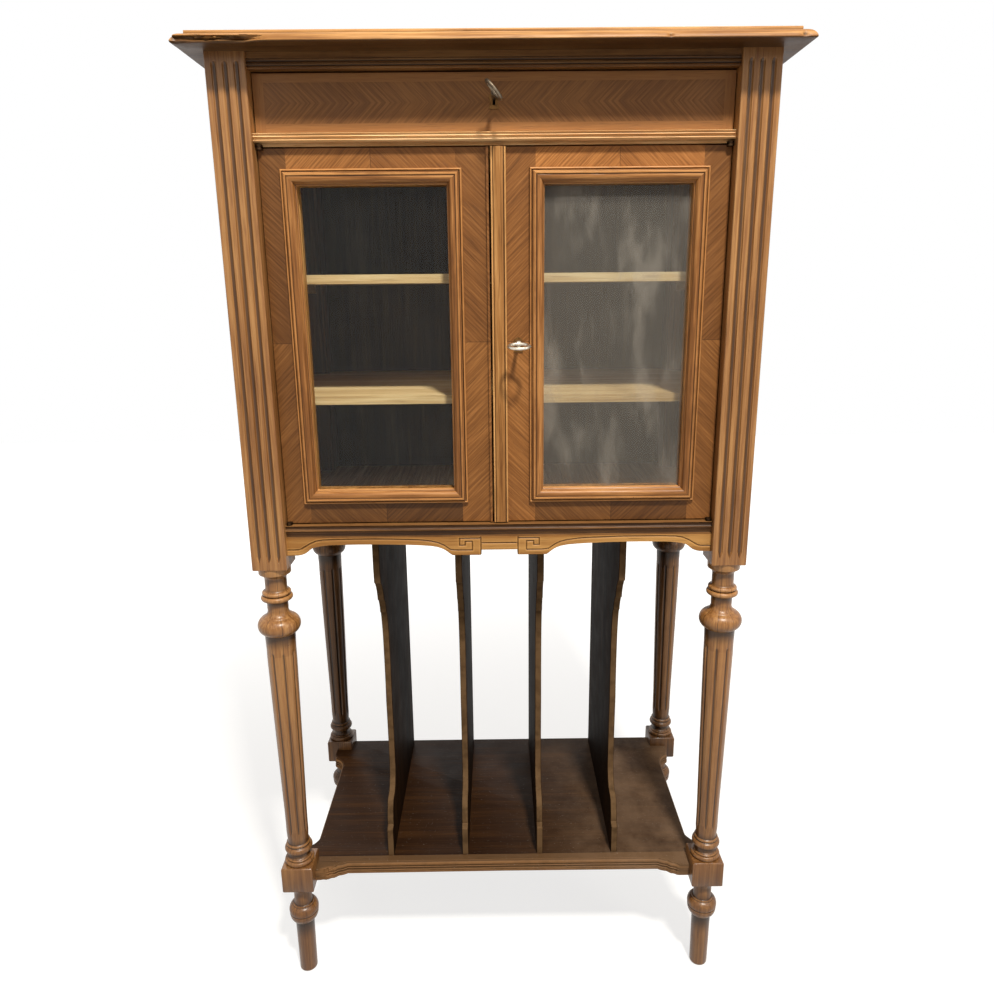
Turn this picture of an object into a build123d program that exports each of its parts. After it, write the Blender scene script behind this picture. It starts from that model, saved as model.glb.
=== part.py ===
from build123d import *
import os

# A music cabinet: a cupboard with a drawer on four turned legs, over an open shelf with upright dividers.
# Millimetres. X runs to the right, Y to the back and Z up, with the origin on the floor under the middle
# of the top board. A depth, written d, is measured back from the front faces of the posts.

# Overall sizes
CABINET_HEIGHT = 1389.0
CASE_WIDTH = 700.0
CASE_DEPTH = 398.0
STAND_HEIGHT = 772.0

# Posts and legs
POST = 49.0
POST_FOOT_Z = 709.0
BLOCK_FOOT_Z = 165.0
BLOCK_HEIGHT = 44.0
SHAFT_TOP_Z = 604.0
SHAFT_FOOT_Z = 247.0
SHAFT_TOP_RADIUS = 22.0
SHAFT_FOOT_RADIUS = 15.8
SHAFT_SWELL = 0.4
SHAFT_FLUTES = 8
SHAFT_FLUTE_RADIUS = 3.4
SHAFT_FLUTE_DEPTH = 1.8
SHAFT_FLUTE_MARGIN_TOP = 28.0
SHAFT_FLUTE_MARGIN_FOOT = 18.0
POST_FLUTES = 3
POST_FLUTE_PITCH = 13.7
POST_FLUTE_RADIUS = 3.3
POST_FLUTE_SIDES = 12
POST_FLUTE_MARGIN_TOP = 14.0
POST_FLUTE_MARGIN_FOOT = 16.0

# Top board
TOP_THICKNESS = 16.0
TOP_SIDE_OVERHANG = 26.0
TOP_FRONT_OVERHANG = 38.0
TOP_BACK_OVERHANG = 8.0
TOP_FILLET_HEIGHT = 4.0
TOP_NOSE_WIDTH = 13.5
TOP_NOSE_EDGE = 2.5

# Front rails
DOOR_RECESS = 19.0
RAIL_BACK_DEPTH = 62.0
FRIEZE_HEIGHT = 18.0
FRIEZE_RECESS = 4.0
DRAWER_HEIGHT = 68.0
DRAWER_RAIL_HEIGHT = 14.0
DRAWER_BEAD_HEIGHT = 10.0
DRAWER_BEAD_RECESS = 6.0
BASE_RAIL_HEIGHT = 18.0
BASE_NOSE_RECESS = 5.0
BASE_NOSE_HEIGHT = 8.0
BASE_COVE_RECESS = 9.0
APRON_RECESS = 10.0
APRON_THICKNESS = 16.0
TENON = 18.0
TENON_THICKNESS = 8.0
PLAY = 0.2

# Case boards
SIDE_RECESS = 8.0
SIDE_THICKNESS = 16.0
SIDE_TONGUE = 8.0
BACK_THICKNESS = 8.0
BACK_RECESS = 4.0
BACK_RAIL_THICKNESS = 22.0
BACK_RAIL_HEIGHT = 30.0
DUST_BOARD_THICKNESS = 8.0
SHELF_THICKNESS = 12.0
SHELF_FRONT_GAP = 3.0
SHELF_GAP = 1.0
CLEAT = 14.0
LOWER_SHELF_Z = 949.0
UPPER_SHELF_Z = 1113.5

# Drawer
SMALL_GAP = 1.5
REVEAL = 2.0
DRAWER_FRONT_THICKNESS = 22.0
DRAWER_SIDE_THICKNESS = 12.0
DRAWER_BOTTOM_THICKNESS = 6.0
DRAWER_BOTTOM_LIFT = 8.0
DRAWER_LENGTH = 340.0
DRAWER_SIDE_DROP = 6.0
DRAWER_GROOVE = 5.0
GUIDE_GAP = 0.8
RUNNER_GAP = 0.3

# Doors
DOOR_THICKNESS = 22.0
MEETING_X = -7.75
MEETING_GAP = 2.5
HINGE_MARGIN = 26.0
LEFT_MEETING_MARGIN = 34.0
RIGHT_MEETING_MARGIN = 49.5
TOP_MARGIN = 24.5
BOTTOM_MARGIN = 28.0
MOULDING_WIDTH = 19.4
MOULDING_LAP = 8.0
MOULDING_RISE = 9.0
MOULDING_EDGE_RISE = 3.0
MOULDING_BODY = 8.0
GLASS_THICKNESS = 5.0
GLASS_LAP = 6.0
GLASS_BEVEL_WIDTH = 20.0
GLASS_BEVEL_DROP = 2.0
GLASS_SEAT = 0.6
BEAD_GAP = 0.2
FRAME_TENON = 22.0
FRAME_TENON_THICKNESS = 7.0
NOSING_WIDTH = 3.0
NOSING_RISE = 4.0
ASTRAGAL_WIDTH = 19.5
ASTRAGAL_RISE = 7.0

# Pivot hinges
PIVOT_INSET = 3.0
PIVOT_LEAD = 4.0
PIVOT_PIN_RADIUS = 2.0
PIVOT_EYE_RADIUS = 4.0
PIVOT_CLEARANCE = 0.05
PIVOT_COLLAR_RADIUS = 3.4
SCREW_RADIUS = 1.5
SCREW_LENGTH = 10.0
PLATE_THICKNESS = 2.0
PLATE_WIDTH = 12.0
PLATE_LENGTH = 34.0

# Slide bolts of the left door
BOLT_TRAVEL = 9.0
SLIDE_BOLT_WIDTH = 7.0
SLIDE_BOLT_THICKNESS = 4.0
SLIDE_BOLT_LENGTH = 62.0
SLIDE_BOLT_FROM_EDGE = 20.0
GUIDE_WALL = 2.0
SLIDING_FIT = 0.3
KNOB_RADIUS = 3.0
KNOB_RISE = 7.0

# Locks and keys
DOOR_KEY_X = 28.0
DOOR_KEY_Z = 1023.5
DRAWER_KEY_X = -1.0
DRAWER_KEY_DROP = 29.5
LOCK_WIDTH = 46.0
LOCK_HEIGHT = 58.0
LOCK_DEPTH = 12.0
LOCK_WALL = 1.5
LOCK_FROM_EDGE = 3.0
LOCK_BOLT_HEIGHT = 12.0
LOCK_BOLT_THICKNESS = 3.0
KEEPER_WIDTH = 12.0
KEY_SHANK_RADIUS = 2.5
KEY_FIT = 0.08
KEY_BIT_LENGTH = 7.5
KEY_BIT_HEIGHT = 5.0
KEY_BIT_THICKNESS = 2.0
KEY_REACH = 53.0
BOW_WIDTH = 31.0
BOW_LENGTH = 24.0
BOW_WIRE = 4.2
ESCUTCHEON_THICKNESS = 1.2
DOOR_KEY_TILT = 90.0
DRAWER_KEY_TILT = -41.0
DOOR_KEY_LEAN = 14.0
DRAWER_KEY_LEAN = 0.0
KEEPER_FROM_EDGE = 1.5
BOLT_MORTISE = 8.0

# Music shelf and dividers
MUSIC_SHELF_Z = 192.0
MUSIC_SHELF_THICKNESS = 20.0
SHELF_EAR_RECESS = 19.0
SHELF_FRONT_RECESS = 33.5
SHELF_SIDE_RECESS = 38.0
SHELF_BACK_RECESS = 14.0
SHELF_EAR_LENGTH = 22.0
SHELF_COVE_LENGTH = 42.0
SIDE_COVE_LENGTH = 27.0
DIVIDER_THICKNESS = 10.0
BAY_WIDTH = 112.0
DADO = 5.0
DIVIDER_BACK_DEPTH = 371.0

# Apron outline
CENTRE_HALF_WIDTH = 25.0
KEY_BLOCK_WIDTH = 43.0
CENTRE_DROP = 20.4
KEY_BLOCK_DROP = 28.2
ARCH_DROP = 11.5
END_DROP = 26.3

# Worked out from the sizes above
HALF_WIDTH = CASE_WIDTH / 2
INNER = HALF_WIDTH - POST
SHELF_FRONT_DEPTH = POST + SHELF_FRONT_GAP
TOP_BACK_DEPTH = CASE_DEPTH + TOP_BACK_OVERHANG
FRONT_Y = (TOP_FRONT_OVERHANG - TOP_BACK_DEPTH) / 2
BACK_POST = CASE_DEPTH - POST
TOP_FOOT_Z = CABINET_HEIGHT - TOP_THICKNESS
FRIEZE_FOOT_Z = TOP_FOOT_Z - FRIEZE_HEIGHT
DRAWER_TOP_Z = FRIEZE_FOOT_Z - REVEAL
DRAWER_FOOT_Z = DRAWER_TOP_Z - DRAWER_HEIGHT
DRAWER_KEY_Z = DRAWER_TOP_Z - DRAWER_KEY_DROP
RAIL_TOP_Z = DRAWER_FOOT_Z - REVEAL
RAIL_FOOT_Z = RAIL_TOP_Z - DRAWER_RAIL_HEIGHT
DOOR_TOP_Z = RAIL_FOOT_Z - REVEAL
DOOR_FOOT_Z = STAND_HEIGHT + REVEAL
FLOOR_FOOT_Z = STAND_HEIGHT - BASE_RAIL_HEIGHT
DOOR_BACK = DOOR_RECESS + DOOR_THICKNESS
DRAWER_BACK = DOOR_RECESS + DRAWER_FRONT_THICKNESS
SIDE_FACE = HALF_WIDTH - SIDE_RECESS
SIDE_INSIDE = SIDE_FACE - SIDE_THICKNESS
BACK_PANEL_DEPTH = CASE_DEPTH - BACK_RECESS - BACK_THICKNESS
LEG_AXIS_X = HALF_WIDTH - POST / 2
PIVOT_X = INNER - SMALL_GAP - PIVOT_INSET
PIVOT_DEPTH = DOOR_RECESS - PIVOT_LEAD
RUNNER_TOP_Z = DRAWER_FOOT_Z - RUNNER_GAP
LEFT_EDGE = MEETING_X - MEETING_GAP / 2
RIGHT_EDGE = MEETING_X + MEETING_GAP / 2
EPS = 0.5

written = {}


def save(name, shape):
    """Writes one node."""
    parts = shape if isinstance(shape, list) else [shape]
    solids = [solid for part in parts for solid in part.solids()]
    node = Compound(children=solids) if len(solids) > 1 else solids[0]
    node.label = name
    export_step(node, os.path.join("parts", name + ".step"))
    written[name] = node


def block(x0, x1, d0, d1, z0, z1):
    """A box between two corners, the depths from the post fronts."""
    middle = Pos((x0 + x1) / 2, FRONT_Y + (d0 + d1) / 2, (z0 + z1) / 2)
    return middle * Box(abs(x1 - x0), abs(d1 - d0), abs(z1 - z0))


def face_of(start, steps):
    """A closed face from a start point and steps of an end point and the rise of the arc to it."""
    edges, here = [], start
    for end, rise in steps:
        edges.append(SagittaArc(here, end, rise) if rise else Line(here, end))
        here = end
    if here != start:
        edges.append(Line(here, start))
    return make_face(edges)


def along_x(face, x0, x1):
    """A face drawn as (depth, height), extruded from x0 to x1."""
    return Pos(x0, FRONT_Y, 0) * extrude(Plane.YZ * face, x1 - x0)


def along_y(face, d0, d1):
    """A face drawn as (x, height), extruded from depth d0 back to d1."""
    return Pos(0, FRONT_Y + d1, 0) * extrude(Plane.XZ * face, d1 - d0)


def along_z(face, z0, z1):
    """A face drawn as (x, depth), extruded from z0 to z1."""
    return Pos(0, FRONT_Y, z0) * extrude(face, z1 - z0)


def rod(x, d, z0, z1, radius):
    """An upright round rod."""
    return Pos(x, FRONT_Y + d, (z0 + z1) / 2) * Cylinder(radius, z1 - z0)


def rod_y(x, z, d0, d1, radius):
    """A round rod that runs from front to back."""
    return Pos(x, FRONT_Y + (d0 + d1) / 2, z) * Rot(90, 0, 0) * Cylinder(radius, d1 - d0)


def mirrored(shape):
    """The same piece on the other side of the cabinet."""
    return mirror(shape, Plane.YZ)


# Legs

def turned_leg():
    """The turned and fluted part between the post and the floor, about the Z axis."""
    block_top = BLOCK_FOOT_Z + BLOCK_HEIGHT
    profile = face_of((0, 0), [
        ((12, 0), 0), ((14, 3), -0.6), ((14.8, 97), 0),
        ((16, 98), 0), ((16, 128), -7), ((14, 131), 0), ((14, 148), 0),
        ((19, BLOCK_FOOT_Z - 2), 1.5), ((19, BLOCK_FOOT_Z + 2), 0),
        ((19, block_top - 1), 0), ((21, block_top), 0), ((20, block_top + 8), -2),
        ((18, block_top + 10), -0.6), ((15, block_top + 15), 1), ((15.5, 228), 0),
        ((17.5, 229.5), 0), ((17.5, 240.5), -4), ((17.5, SHAFT_FOOT_Z - 2), -1.4),
        ((SHAFT_FOOT_RADIUS, SHAFT_FOOT_Z), 0.5),
        ((SHAFT_TOP_RADIUS, SHAFT_TOP_Z), -SHAFT_SWELL),
        ((23.5, SHAFT_TOP_Z + 2), 0), ((21.5, 631), -8.4), ((20, 632), 0), ((15.2, 643), 2),
        ((15.2, 654), 0), ((18.5, 657), 0.6), ((19.5, 665), -3.4), ((18.5, 671.5), -2),
        ((15.6, 676), 0.8), ((15.6, 692), 0), ((22.8, 699), 1), ((22.8, POST_FOOT_Z + 2), 0),
        ((0, POST_FOOT_Z + 2), 0),
    ])
    leg = revolve(Plane.XZ * profile, Axis.Z)
    top = SHAFT_TOP_Z - SHAFT_FLUTE_MARGIN_TOP
    foot = SHAFT_FOOT_Z + SHAFT_FLUTE_MARGIN_FOOT
    slope = (SHAFT_TOP_RADIUS - SHAFT_FOOT_RADIUS) / (SHAFT_TOP_Z - SHAFT_FOOT_Z)
    stand_off = SHAFT_FLUTE_RADIUS - SHAFT_FLUTE_DEPTH
    r_foot = SHAFT_FOOT_RADIUS + slope * (foot - SHAFT_FOOT_Z) + stand_off
    r_top = SHAFT_FOOT_RADIUS + slope * (top - SHAFT_FOOT_Z) + stand_off
    axis = Plane(origin=(r_foot, 0, foot), z_dir=(r_top - r_foot, 0, top - foot))
    cutter = extrude(axis * Circle(SHAFT_FLUTE_RADIUS), top - foot)
    cutter += Pos(r_foot, 0, foot) * Sphere(SHAFT_FLUTE_RADIUS)
    cutter += Pos(r_top, 0, top) * Sphere(SHAFT_FLUTE_RADIUS)
    for i in range(SHAFT_FLUTES):
        leg -= Rot(0, 0, (i + 0.5) * 360 / SHAFT_FLUTES) * cutter
    return leg


def post_flute(foot, top):
    """The cutter of one post flute, a many-sided rod half sunk in the post's face."""
    section = RegularPolygon(POST_FLUTE_RADIUS, POST_FLUTE_SIDES)
    return Pos(0, 0, foot) * extrude(Rot(0, 0, 180 / POST_FLUTE_SIDES) * section, top - foot)


def side_groove(d0, d1):
    """The groove in a right post that takes the side panel's tongue."""
    centre = SIDE_FACE - SIDE_THICKNESS / 2
    half = TENON_THICKNESS / 2 + PLAY
    return block(centre - half, centre + half, d0, d1, FLOOR_FOOT_Z - PLAY, TOP_FOOT_Z + EPS)


def side_apron_mortise(d0, d1):
    """The hole in a right post for the side apron's tenon."""
    centre = SIDE_FACE - APRON_THICKNESS / 2
    half = TENON_THICKNESS / 2 + PLAY
    z0, z1 = apron_tenon_z()
    return block(centre - half, centre + half, d0, d1, z0 - PLAY, z1 + PLAY)


def mortise(z0, z1, d_centre, x_end, half=TENON_THICKNESS / 2):
    """The hole in a right post for a rail's tenon."""
    return block(INNER - EPS, x_end + PLAY, d_centre - half - PLAY, d_centre + half + PLAY,
                 z0 - PLAY, z1 + PLAY)


def right_leg(turning, front):
    """A right-hand leg with its post, block, flutes and joints."""
    d0 = 0 if front else BACK_POST
    axis_d = d0 + POST / 2
    leg = block(INNER, HALF_WIDTH, d0, d0 + POST, POST_FOOT_Z, TOP_FOOT_Z)
    leg += block(INNER, HALF_WIDTH, d0, d0 + POST, BLOCK_FOOT_Z, BLOCK_FOOT_Z + BLOCK_HEIGHT)
    leg += Pos(LEG_AXIS_X, FRONT_Y + axis_d, 0) * turning
    if front:
        top = TOP_FOOT_Z - POST_FLUTE_MARGIN_TOP
        foot = POST_FOOT_Z + POST_FLUTE_MARGIN_FOOT
        for i in range(POST_FLUTES):
            x = LEG_AXIS_X + (i - (POST_FLUTES - 1) / 2) * POST_FLUTE_PITCH
            leg -= Pos(x, FRONT_Y, 0) * post_flute(foot, top)
        for z0, z1, d in front_tenons():
            leg -= mortise(z0, z1, d, INNER + TENON)
        leg -= side_groove(POST - SIDE_TONGUE - PLAY, POST + EPS)
        leg -= side_apron_mortise(POST - TENON - PLAY, POST + EPS)
    else:
        for z0, z1 in back_rail_levels():
            leg -= mortise(z0, z1, CASE_DEPTH - BACK_RAIL_THICKNESS / 2 - BACK_RECESS, INNER + TENON)
        groove_end = BACK_PANEL_DEPTH + BACK_THICKNESS + PLAY
        leg -= block(INNER - EPS, INNER + SIDE_TONGUE + PLAY, BACK_PANEL_DEPTH - PLAY, groove_end,
                     FLOOR_FOOT_Z - PLAY, TOP_FOOT_Z - BACK_RAIL_HEIGHT)
        leg -= side_groove(BACK_POST - EPS, BACK_POST + SIDE_TONGUE + PLAY)
        leg -= side_apron_mortise(BACK_POST - EPS, BACK_POST + TENON + PLAY)
    return leg


def front_tenons():
    """Heights and depth of each front rail's tenon."""
    rail_d = DOOR_RECESS + 12
    return [
        (FRIEZE_FOOT_Z + 3, TOP_FOOT_Z - 3, rail_d),
        (RAIL_FOOT_Z + 2, RAIL_TOP_Z - 2, rail_d),
        (FLOOR_FOOT_Z + 3, STAND_HEIGHT - 3, rail_d),
        (*apron_tenon_z(), APRON_RECESS + APRON_THICKNESS / 2),
    ]


def apron_tenon_z():
    """Heights of the aprons' tenons."""
    return FLOOR_FOOT_Z - END_DROP + 4, FLOOR_FOOT_Z - 4


def back_rail_levels():
    """Heights of the tenons of the two back rails."""
    return [
        (FLOOR_FOOT_Z - BACK_RAIL_HEIGHT + 4, FLOOR_FOOT_Z - 4),
        (TOP_FOOT_Z - BACK_RAIL_HEIGHT + 4, TOP_FOOT_Z - 4),
    ]


def with_tenons(rail, z0, z1, d, length=TENON, half=TENON_THICKNESS / 2):
    """A rail with a tenon on each end."""
    for side in (-1, 1):
        rail += block(side * (INNER - EPS), side * (INNER + length), d - half, d + half, z0, z1)
    return rail


# Case

def top_board():
    """The top board, its thumb moulding mitred at the front corners."""
    edge_x = HALF_WIDTH + TOP_SIDE_OVERHANG
    thumb_top = CABINET_HEIGHT - TOP_FILLET_HEIGHT
    nose_z = TOP_FOOT_Z + TOP_NOSE_EDGE
    across = face_of((-edge_x, TOP_FOOT_Z), [
        ((edge_x, TOP_FOOT_Z), 0), ((edge_x, nose_z), 0), ((edge_x - TOP_NOSE_WIDTH, thumb_top), -2.6),
        ((edge_x - TOP_NOSE_WIDTH, CABINET_HEIGHT), 0), ((-edge_x + TOP_NOSE_WIDTH, CABINET_HEIGHT), 0),
        ((-edge_x + TOP_NOSE_WIDTH, thumb_top), 0), ((-edge_x, nose_z), -2.6),
    ])
    front = -TOP_FRONT_OVERHANG
    deep = face_of((front, TOP_FOOT_Z), [
        ((TOP_BACK_DEPTH, TOP_FOOT_Z), 0), ((TOP_BACK_DEPTH, CABINET_HEIGHT), 0),
        ((front + TOP_NOSE_WIDTH, CABINET_HEIGHT), 0), ((front + TOP_NOSE_WIDTH, thumb_top), 0),
        ((front, nose_z), -2.6),
    ])
    return along_y(across, front, TOP_BACK_DEPTH) & along_x(deep, -edge_x, edge_x)


def frieze_rail():
    """The rail above the drawer, with two fine beads near its lower edge."""
    face = face_of((FRIEZE_RECESS, TOP_FOOT_Z), [
        ((FRIEZE_RECESS, FRIEZE_FOOT_Z + 9), 0), ((FRIEZE_RECESS, FRIEZE_FOOT_Z + 5.5), 1.4),
        ((FRIEZE_RECESS + 1, FRIEZE_FOOT_Z + 5.5), 0), ((FRIEZE_RECESS + 1, FRIEZE_FOOT_Z + 1), 1.6),
        ((FRIEZE_RECESS + 3, FRIEZE_FOOT_Z), 0), ((RAIL_BACK_DEPTH, FRIEZE_FOOT_Z), 0),
        ((RAIL_BACK_DEPTH, TOP_FOOT_Z), 0),
    ])
    rail = along_x(face, -INNER, INNER)
    rail = with_tenons(rail, *front_tenons()[0])
    return rail - drawer_bolt_path()


def drawer_rail():
    """The rail between the drawer and the doors, with a double bead that stands proud of them."""
    z1 = RAIL_TOP_Z
    z_bead = z1 - DRAWER_BEAD_HEIGHT
    half = DRAWER_BEAD_HEIGHT / 2
    face = face_of((DRAWER_BEAD_RECESS + 2, z1), [
        ((DRAWER_BEAD_RECESS + 1.5, z1 - half + 0.5), 2), ((DRAWER_BEAD_RECESS + 1.5, z1 - half - 0.5), 0),
        ((DRAWER_BEAD_RECESS + 2, z_bead), 2), ((DOOR_RECESS, z_bead), 0), ((DOOR_RECESS, RAIL_FOOT_Z), 0),
        ((RAIL_BACK_DEPTH, RAIL_FOOT_Z), 0), ((RAIL_BACK_DEPTH, z1), 0),
    ])
    rail = along_x(face, -INNER, INNER)
    rail = with_tenons(rail, *front_tenons()[1])
    for side in (-1, 1):
        rail -= plate_seat(side, RAIL_FOOT_Z, 1)
    return rail - slide_bolt_path(RAIL_FOOT_Z - EPS, RAIL_FOOT_Z + BOLT_TRAVEL + 1)


def base_rail():
    """The rail under the doors, with a round nosing over a cove."""
    z_nose = STAND_HEIGHT - BASE_NOSE_HEIGHT
    face = face_of((BASE_NOSE_RECESS + 3, STAND_HEIGHT), [
        ((BASE_NOSE_RECESS + 3, z_nose), 3), ((BASE_COVE_RECESS, z_nose - 1), 0),
        ((BASE_COVE_RECESS + 1, FLOOR_FOOT_Z), -1.5), ((RAIL_BACK_DEPTH, FLOOR_FOOT_Z), 0),
        ((RAIL_BACK_DEPTH, STAND_HEIGHT), 0),
    ])
    rail = along_x(face, -INNER, INNER)
    rail = with_tenons(rail, *front_tenons()[2])
    for side in (-1, 1):
        rail -= plate_seat(side, STAND_HEIGHT, -1)
    return rail - slide_bolt_path(STAND_HEIGHT - BOLT_TRAVEL - 1, STAND_HEIGHT + EPS)


def half_apron(inner, outer):
    """Lower outline of the right half of the front apron, from the middle to the post."""
    z = FLOOR_FOOT_Z
    block_end = inner + KEY_BLOCK_WIDTH
    return [
        ((inner, z - CENTRE_DROP), 0), ((inner + 1.5, z - KEY_BLOCK_DROP), 0),
        ((block_end, z - KEY_BLOCK_DROP), 0), ((block_end + 4, z - KEY_BLOCK_DROP + 2.5), 0),
        ((block_end + 60, z - ARCH_DROP - 2.3), 3.2), ((outer - 60, z - ARCH_DROP), 1.2),
        ((outer - 28, z - ARCH_DROP - 9.5), 2.6), ((outer - 19, z - END_DROP + 1), -1.2),
        ((outer, z - END_DROP), 0),
    ]


def apron_front():
    """The carved apron between the front posts."""
    right = half_apron(CENTRE_HALF_WIDTH, INNER)
    corners = [((-point[0], point[1]), rise) for point, rise in right]
    start = (-INNER, FLOOR_FOOT_Z)
    steps = [((-INNER, FLOOR_FOOT_Z - END_DROP), 0)]
    for i in range(len(corners) - 1, 0, -1):
        steps.append((corners[i - 1][0], corners[i][1]))
    steps += right
    steps.append(((INNER, FLOOR_FOOT_Z), 0))
    apron = along_y(face_of(start, steps), APRON_RECESS, APRON_RECESS + APRON_THICKNESS)
    return with_tenons(apron, *front_tenons()[3])


def side_apron():
    """The right-hand apron under the side panel, between the front and back posts."""
    z, d0, d1 = FLOOR_FOOT_Z, POST, BACK_POST
    middle = (d0 + d1) / 2
    face = face_of((d0, z), [
        ((d0, z - END_DROP), 0), ((d0 + 19, z - END_DROP + 1), 0), ((d0 + 28, z - ARCH_DROP - 9.5), -1.2),
        ((d0 + 60, z - ARCH_DROP), 2.6), ((middle, z - ARCH_DROP + 1), 0.8), ((d1 - 60, z - ARCH_DROP), 0.8),
        ((d1 - 28, z - ARCH_DROP - 9.5), 2.6), ((d1 - 19, z - END_DROP + 1), -1.2),
        ((d1, z - END_DROP), 0), ((d1, z), 0),
    ])
    apron = along_x(face, SIDE_FACE - APRON_THICKNESS, SIDE_FACE)
    centre = SIDE_FACE - APRON_THICKNESS / 2
    half = TENON_THICKNESS / 2
    z0, z1 = apron_tenon_z()
    apron += block(centre - half, centre + half, d0 - TENON, d1 + TENON, z0, z1)
    return apron


def side_panel():
    """The right-hand side of the case, tongued into both posts."""
    centre = SIDE_FACE - SIDE_THICKNESS / 2
    half = TENON_THICKNESS / 2
    panel = block(SIDE_INSIDE, SIDE_FACE, POST, BACK_POST, FLOOR_FOOT_Z, TOP_FOOT_Z)
    panel += block(centre - half, centre + half, POST - SIDE_TONGUE, BACK_POST + SIDE_TONGUE,
                   FLOOR_FOOT_Z, TOP_FOOT_Z)
    return panel


def back_rail(z0, z1, tenon):
    """A rail between the back posts."""
    d1 = CASE_DEPTH - BACK_RECESS
    rail = block(-INNER, INNER, d1 - BACK_RAIL_THICKNESS, d1, z0, z1)
    return with_tenons(rail, *tenon, d1 - BACK_RAIL_THICKNESS / 2)


def back_panel():
    """The thin board that closes the back of the case."""
    half = INNER + SIDE_TONGUE
    return block(-half, half, BACK_PANEL_DEPTH, BACK_PANEL_DEPTH + BACK_THICKNESS,
                 FLOOR_FOOT_Z, TOP_FOOT_Z - BACK_RAIL_HEIGHT)


def case_board(z0, z1, front, gap=0.0):
    """A board across the inside of the case, notched round the back posts and the front rail."""
    board = block(-SIDE_INSIDE + gap, SIDE_INSIDE - gap, front, BACK_PANEL_DEPTH, z0, z1)
    for side in (-1, 1):
        board -= block(side * (INNER - gap), side * HALF_WIDTH, BACK_POST - gap, CASE_DEPTH,
                       z0 - EPS, z1 + EPS)
    return board


def floor_board(z0, z1):
    """A case board that fits behind a front rail."""
    return case_board(z0, z1, POST) - block(-INNER, INNER, 0, RAIL_BACK_DEPTH, z0 - EPS, z1 + EPS)


def case_floor():
    """The cupboard floor, grooved underneath for the dividers."""
    grooves = divider_grooves(FLOOR_FOOT_Z - EPS, FLOOR_FOOT_Z + DADO + PLAY)
    return floor_board(FLOOR_FOOT_Z, STAND_HEIGHT) - grooves


def shelf(z_top):
    """A shelf on its cleats."""
    return case_board(z_top - SHELF_THICKNESS, z_top, SHELF_FRONT_DEPTH, SHELF_GAP)


def shelf_cleats():
    """Two cleats under each shelf, one on each side panel."""
    cleats = []
    for top in (LOWER_SHELF_Z, UPPER_SHELF_Z):
        z1 = top - SHELF_THICKNESS
        for side in (-1, 1):
            cleats.append(block(side * (SIDE_INSIDE - CLEAT), side * SIDE_INSIDE, SHELF_FRONT_DEPTH + 4,
                                BACK_POST, z1 - CLEAT, z1))
    return cleats


def drawer_runners():
    """Under each drawer side a ledge, with a guide beside it that fills the space to the side panel."""
    runners = []
    z0 = RAIL_FOOT_Z + DUST_BOARD_THICKNESS
    guide_x = INNER - SMALL_GAP - 1 + GUIDE_GAP
    for side in (-1, 1):
        ledge = block(side * (guide_x - DRAWER_SIDE_THICKNESS - 6), side * SIDE_INSIDE,
                      RAIL_BACK_DEPTH, BACK_POST, z0, RUNNER_TOP_Z)
        guide = block(side * guide_x, side * SIDE_INSIDE, RAIL_BACK_DEPTH, BACK_POST,
                      z0, DRAWER_TOP_Z - DRAWER_SIDE_DROP - 4)
        runners.append(ledge + guide)
    return runners


# Music shelf and dividers

def divider_centres():
    """Middles of the four dividers, from left to right."""
    pitch = BAY_WIDTH + DIVIDER_THICKNESS
    return [(i - 1.5) * pitch for i in range(4)]


def divider_grooves(z0, z1):
    """Grooves that hold the dividers."""
    half = DIVIDER_THICKNESS / 2 + PLAY
    front = divider_top_depth() if z0 > MUSIC_SHELF_Z else divider_foot_depth()
    back = DIVIDER_BACK_DEPTH + PLAY
    cuts = [block(x - half, x + half, front - PLAY, back, z0, z1) for x in divider_centres()]
    return cuts[0] + cuts[1:]


def divider_top_depth():
    """Depth of a divider's front edge under the case."""
    return RAIL_BACK_DEPTH + 1


def divider_foot_depth():
    """Depth of a divider's front edge on the shelf."""
    return 50.0


def divider(x):
    """An upright divider with its scalloped front edge, standing in a groove above and below."""
    z0, z1 = MUSIC_SHELF_Z - DADO, FLOOR_FOOT_Z + DADO
    top, back = FLOOR_FOOT_Z - 1, DIVIDER_BACK_DEPTH
    foot = divider_foot_depth()
    face = face_of((back, z0), [
        ((back, z1), 0), ((divider_top_depth(), z1), 0), ((divider_top_depth(), top), 0),
        ((foot, top), 0), ((foot + 2, 668), 0), ((foot + 9, 664), -0.6), ((foot + 29, 630), 4),
        ((foot + 34, 627), 0), ((foot + 46, 603), 2.6), ((foot + 50, 600), 0), ((foot + 60, 530), 5),
        ((foot + 57, 440), -1.5), ((foot + 60, 330), -1.5), ((foot + 42, 283), 7), ((foot + 23, 281), 0),
        ((foot + 10, 244), -4), ((foot + 8, 242), 0), ((foot + 1, 240), 0), ((foot, z0), 0),
    ])
    return along_x(face, x - DIVIDER_THICKNESS / 2, x + DIVIDER_THICKNESS / 2)


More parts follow.
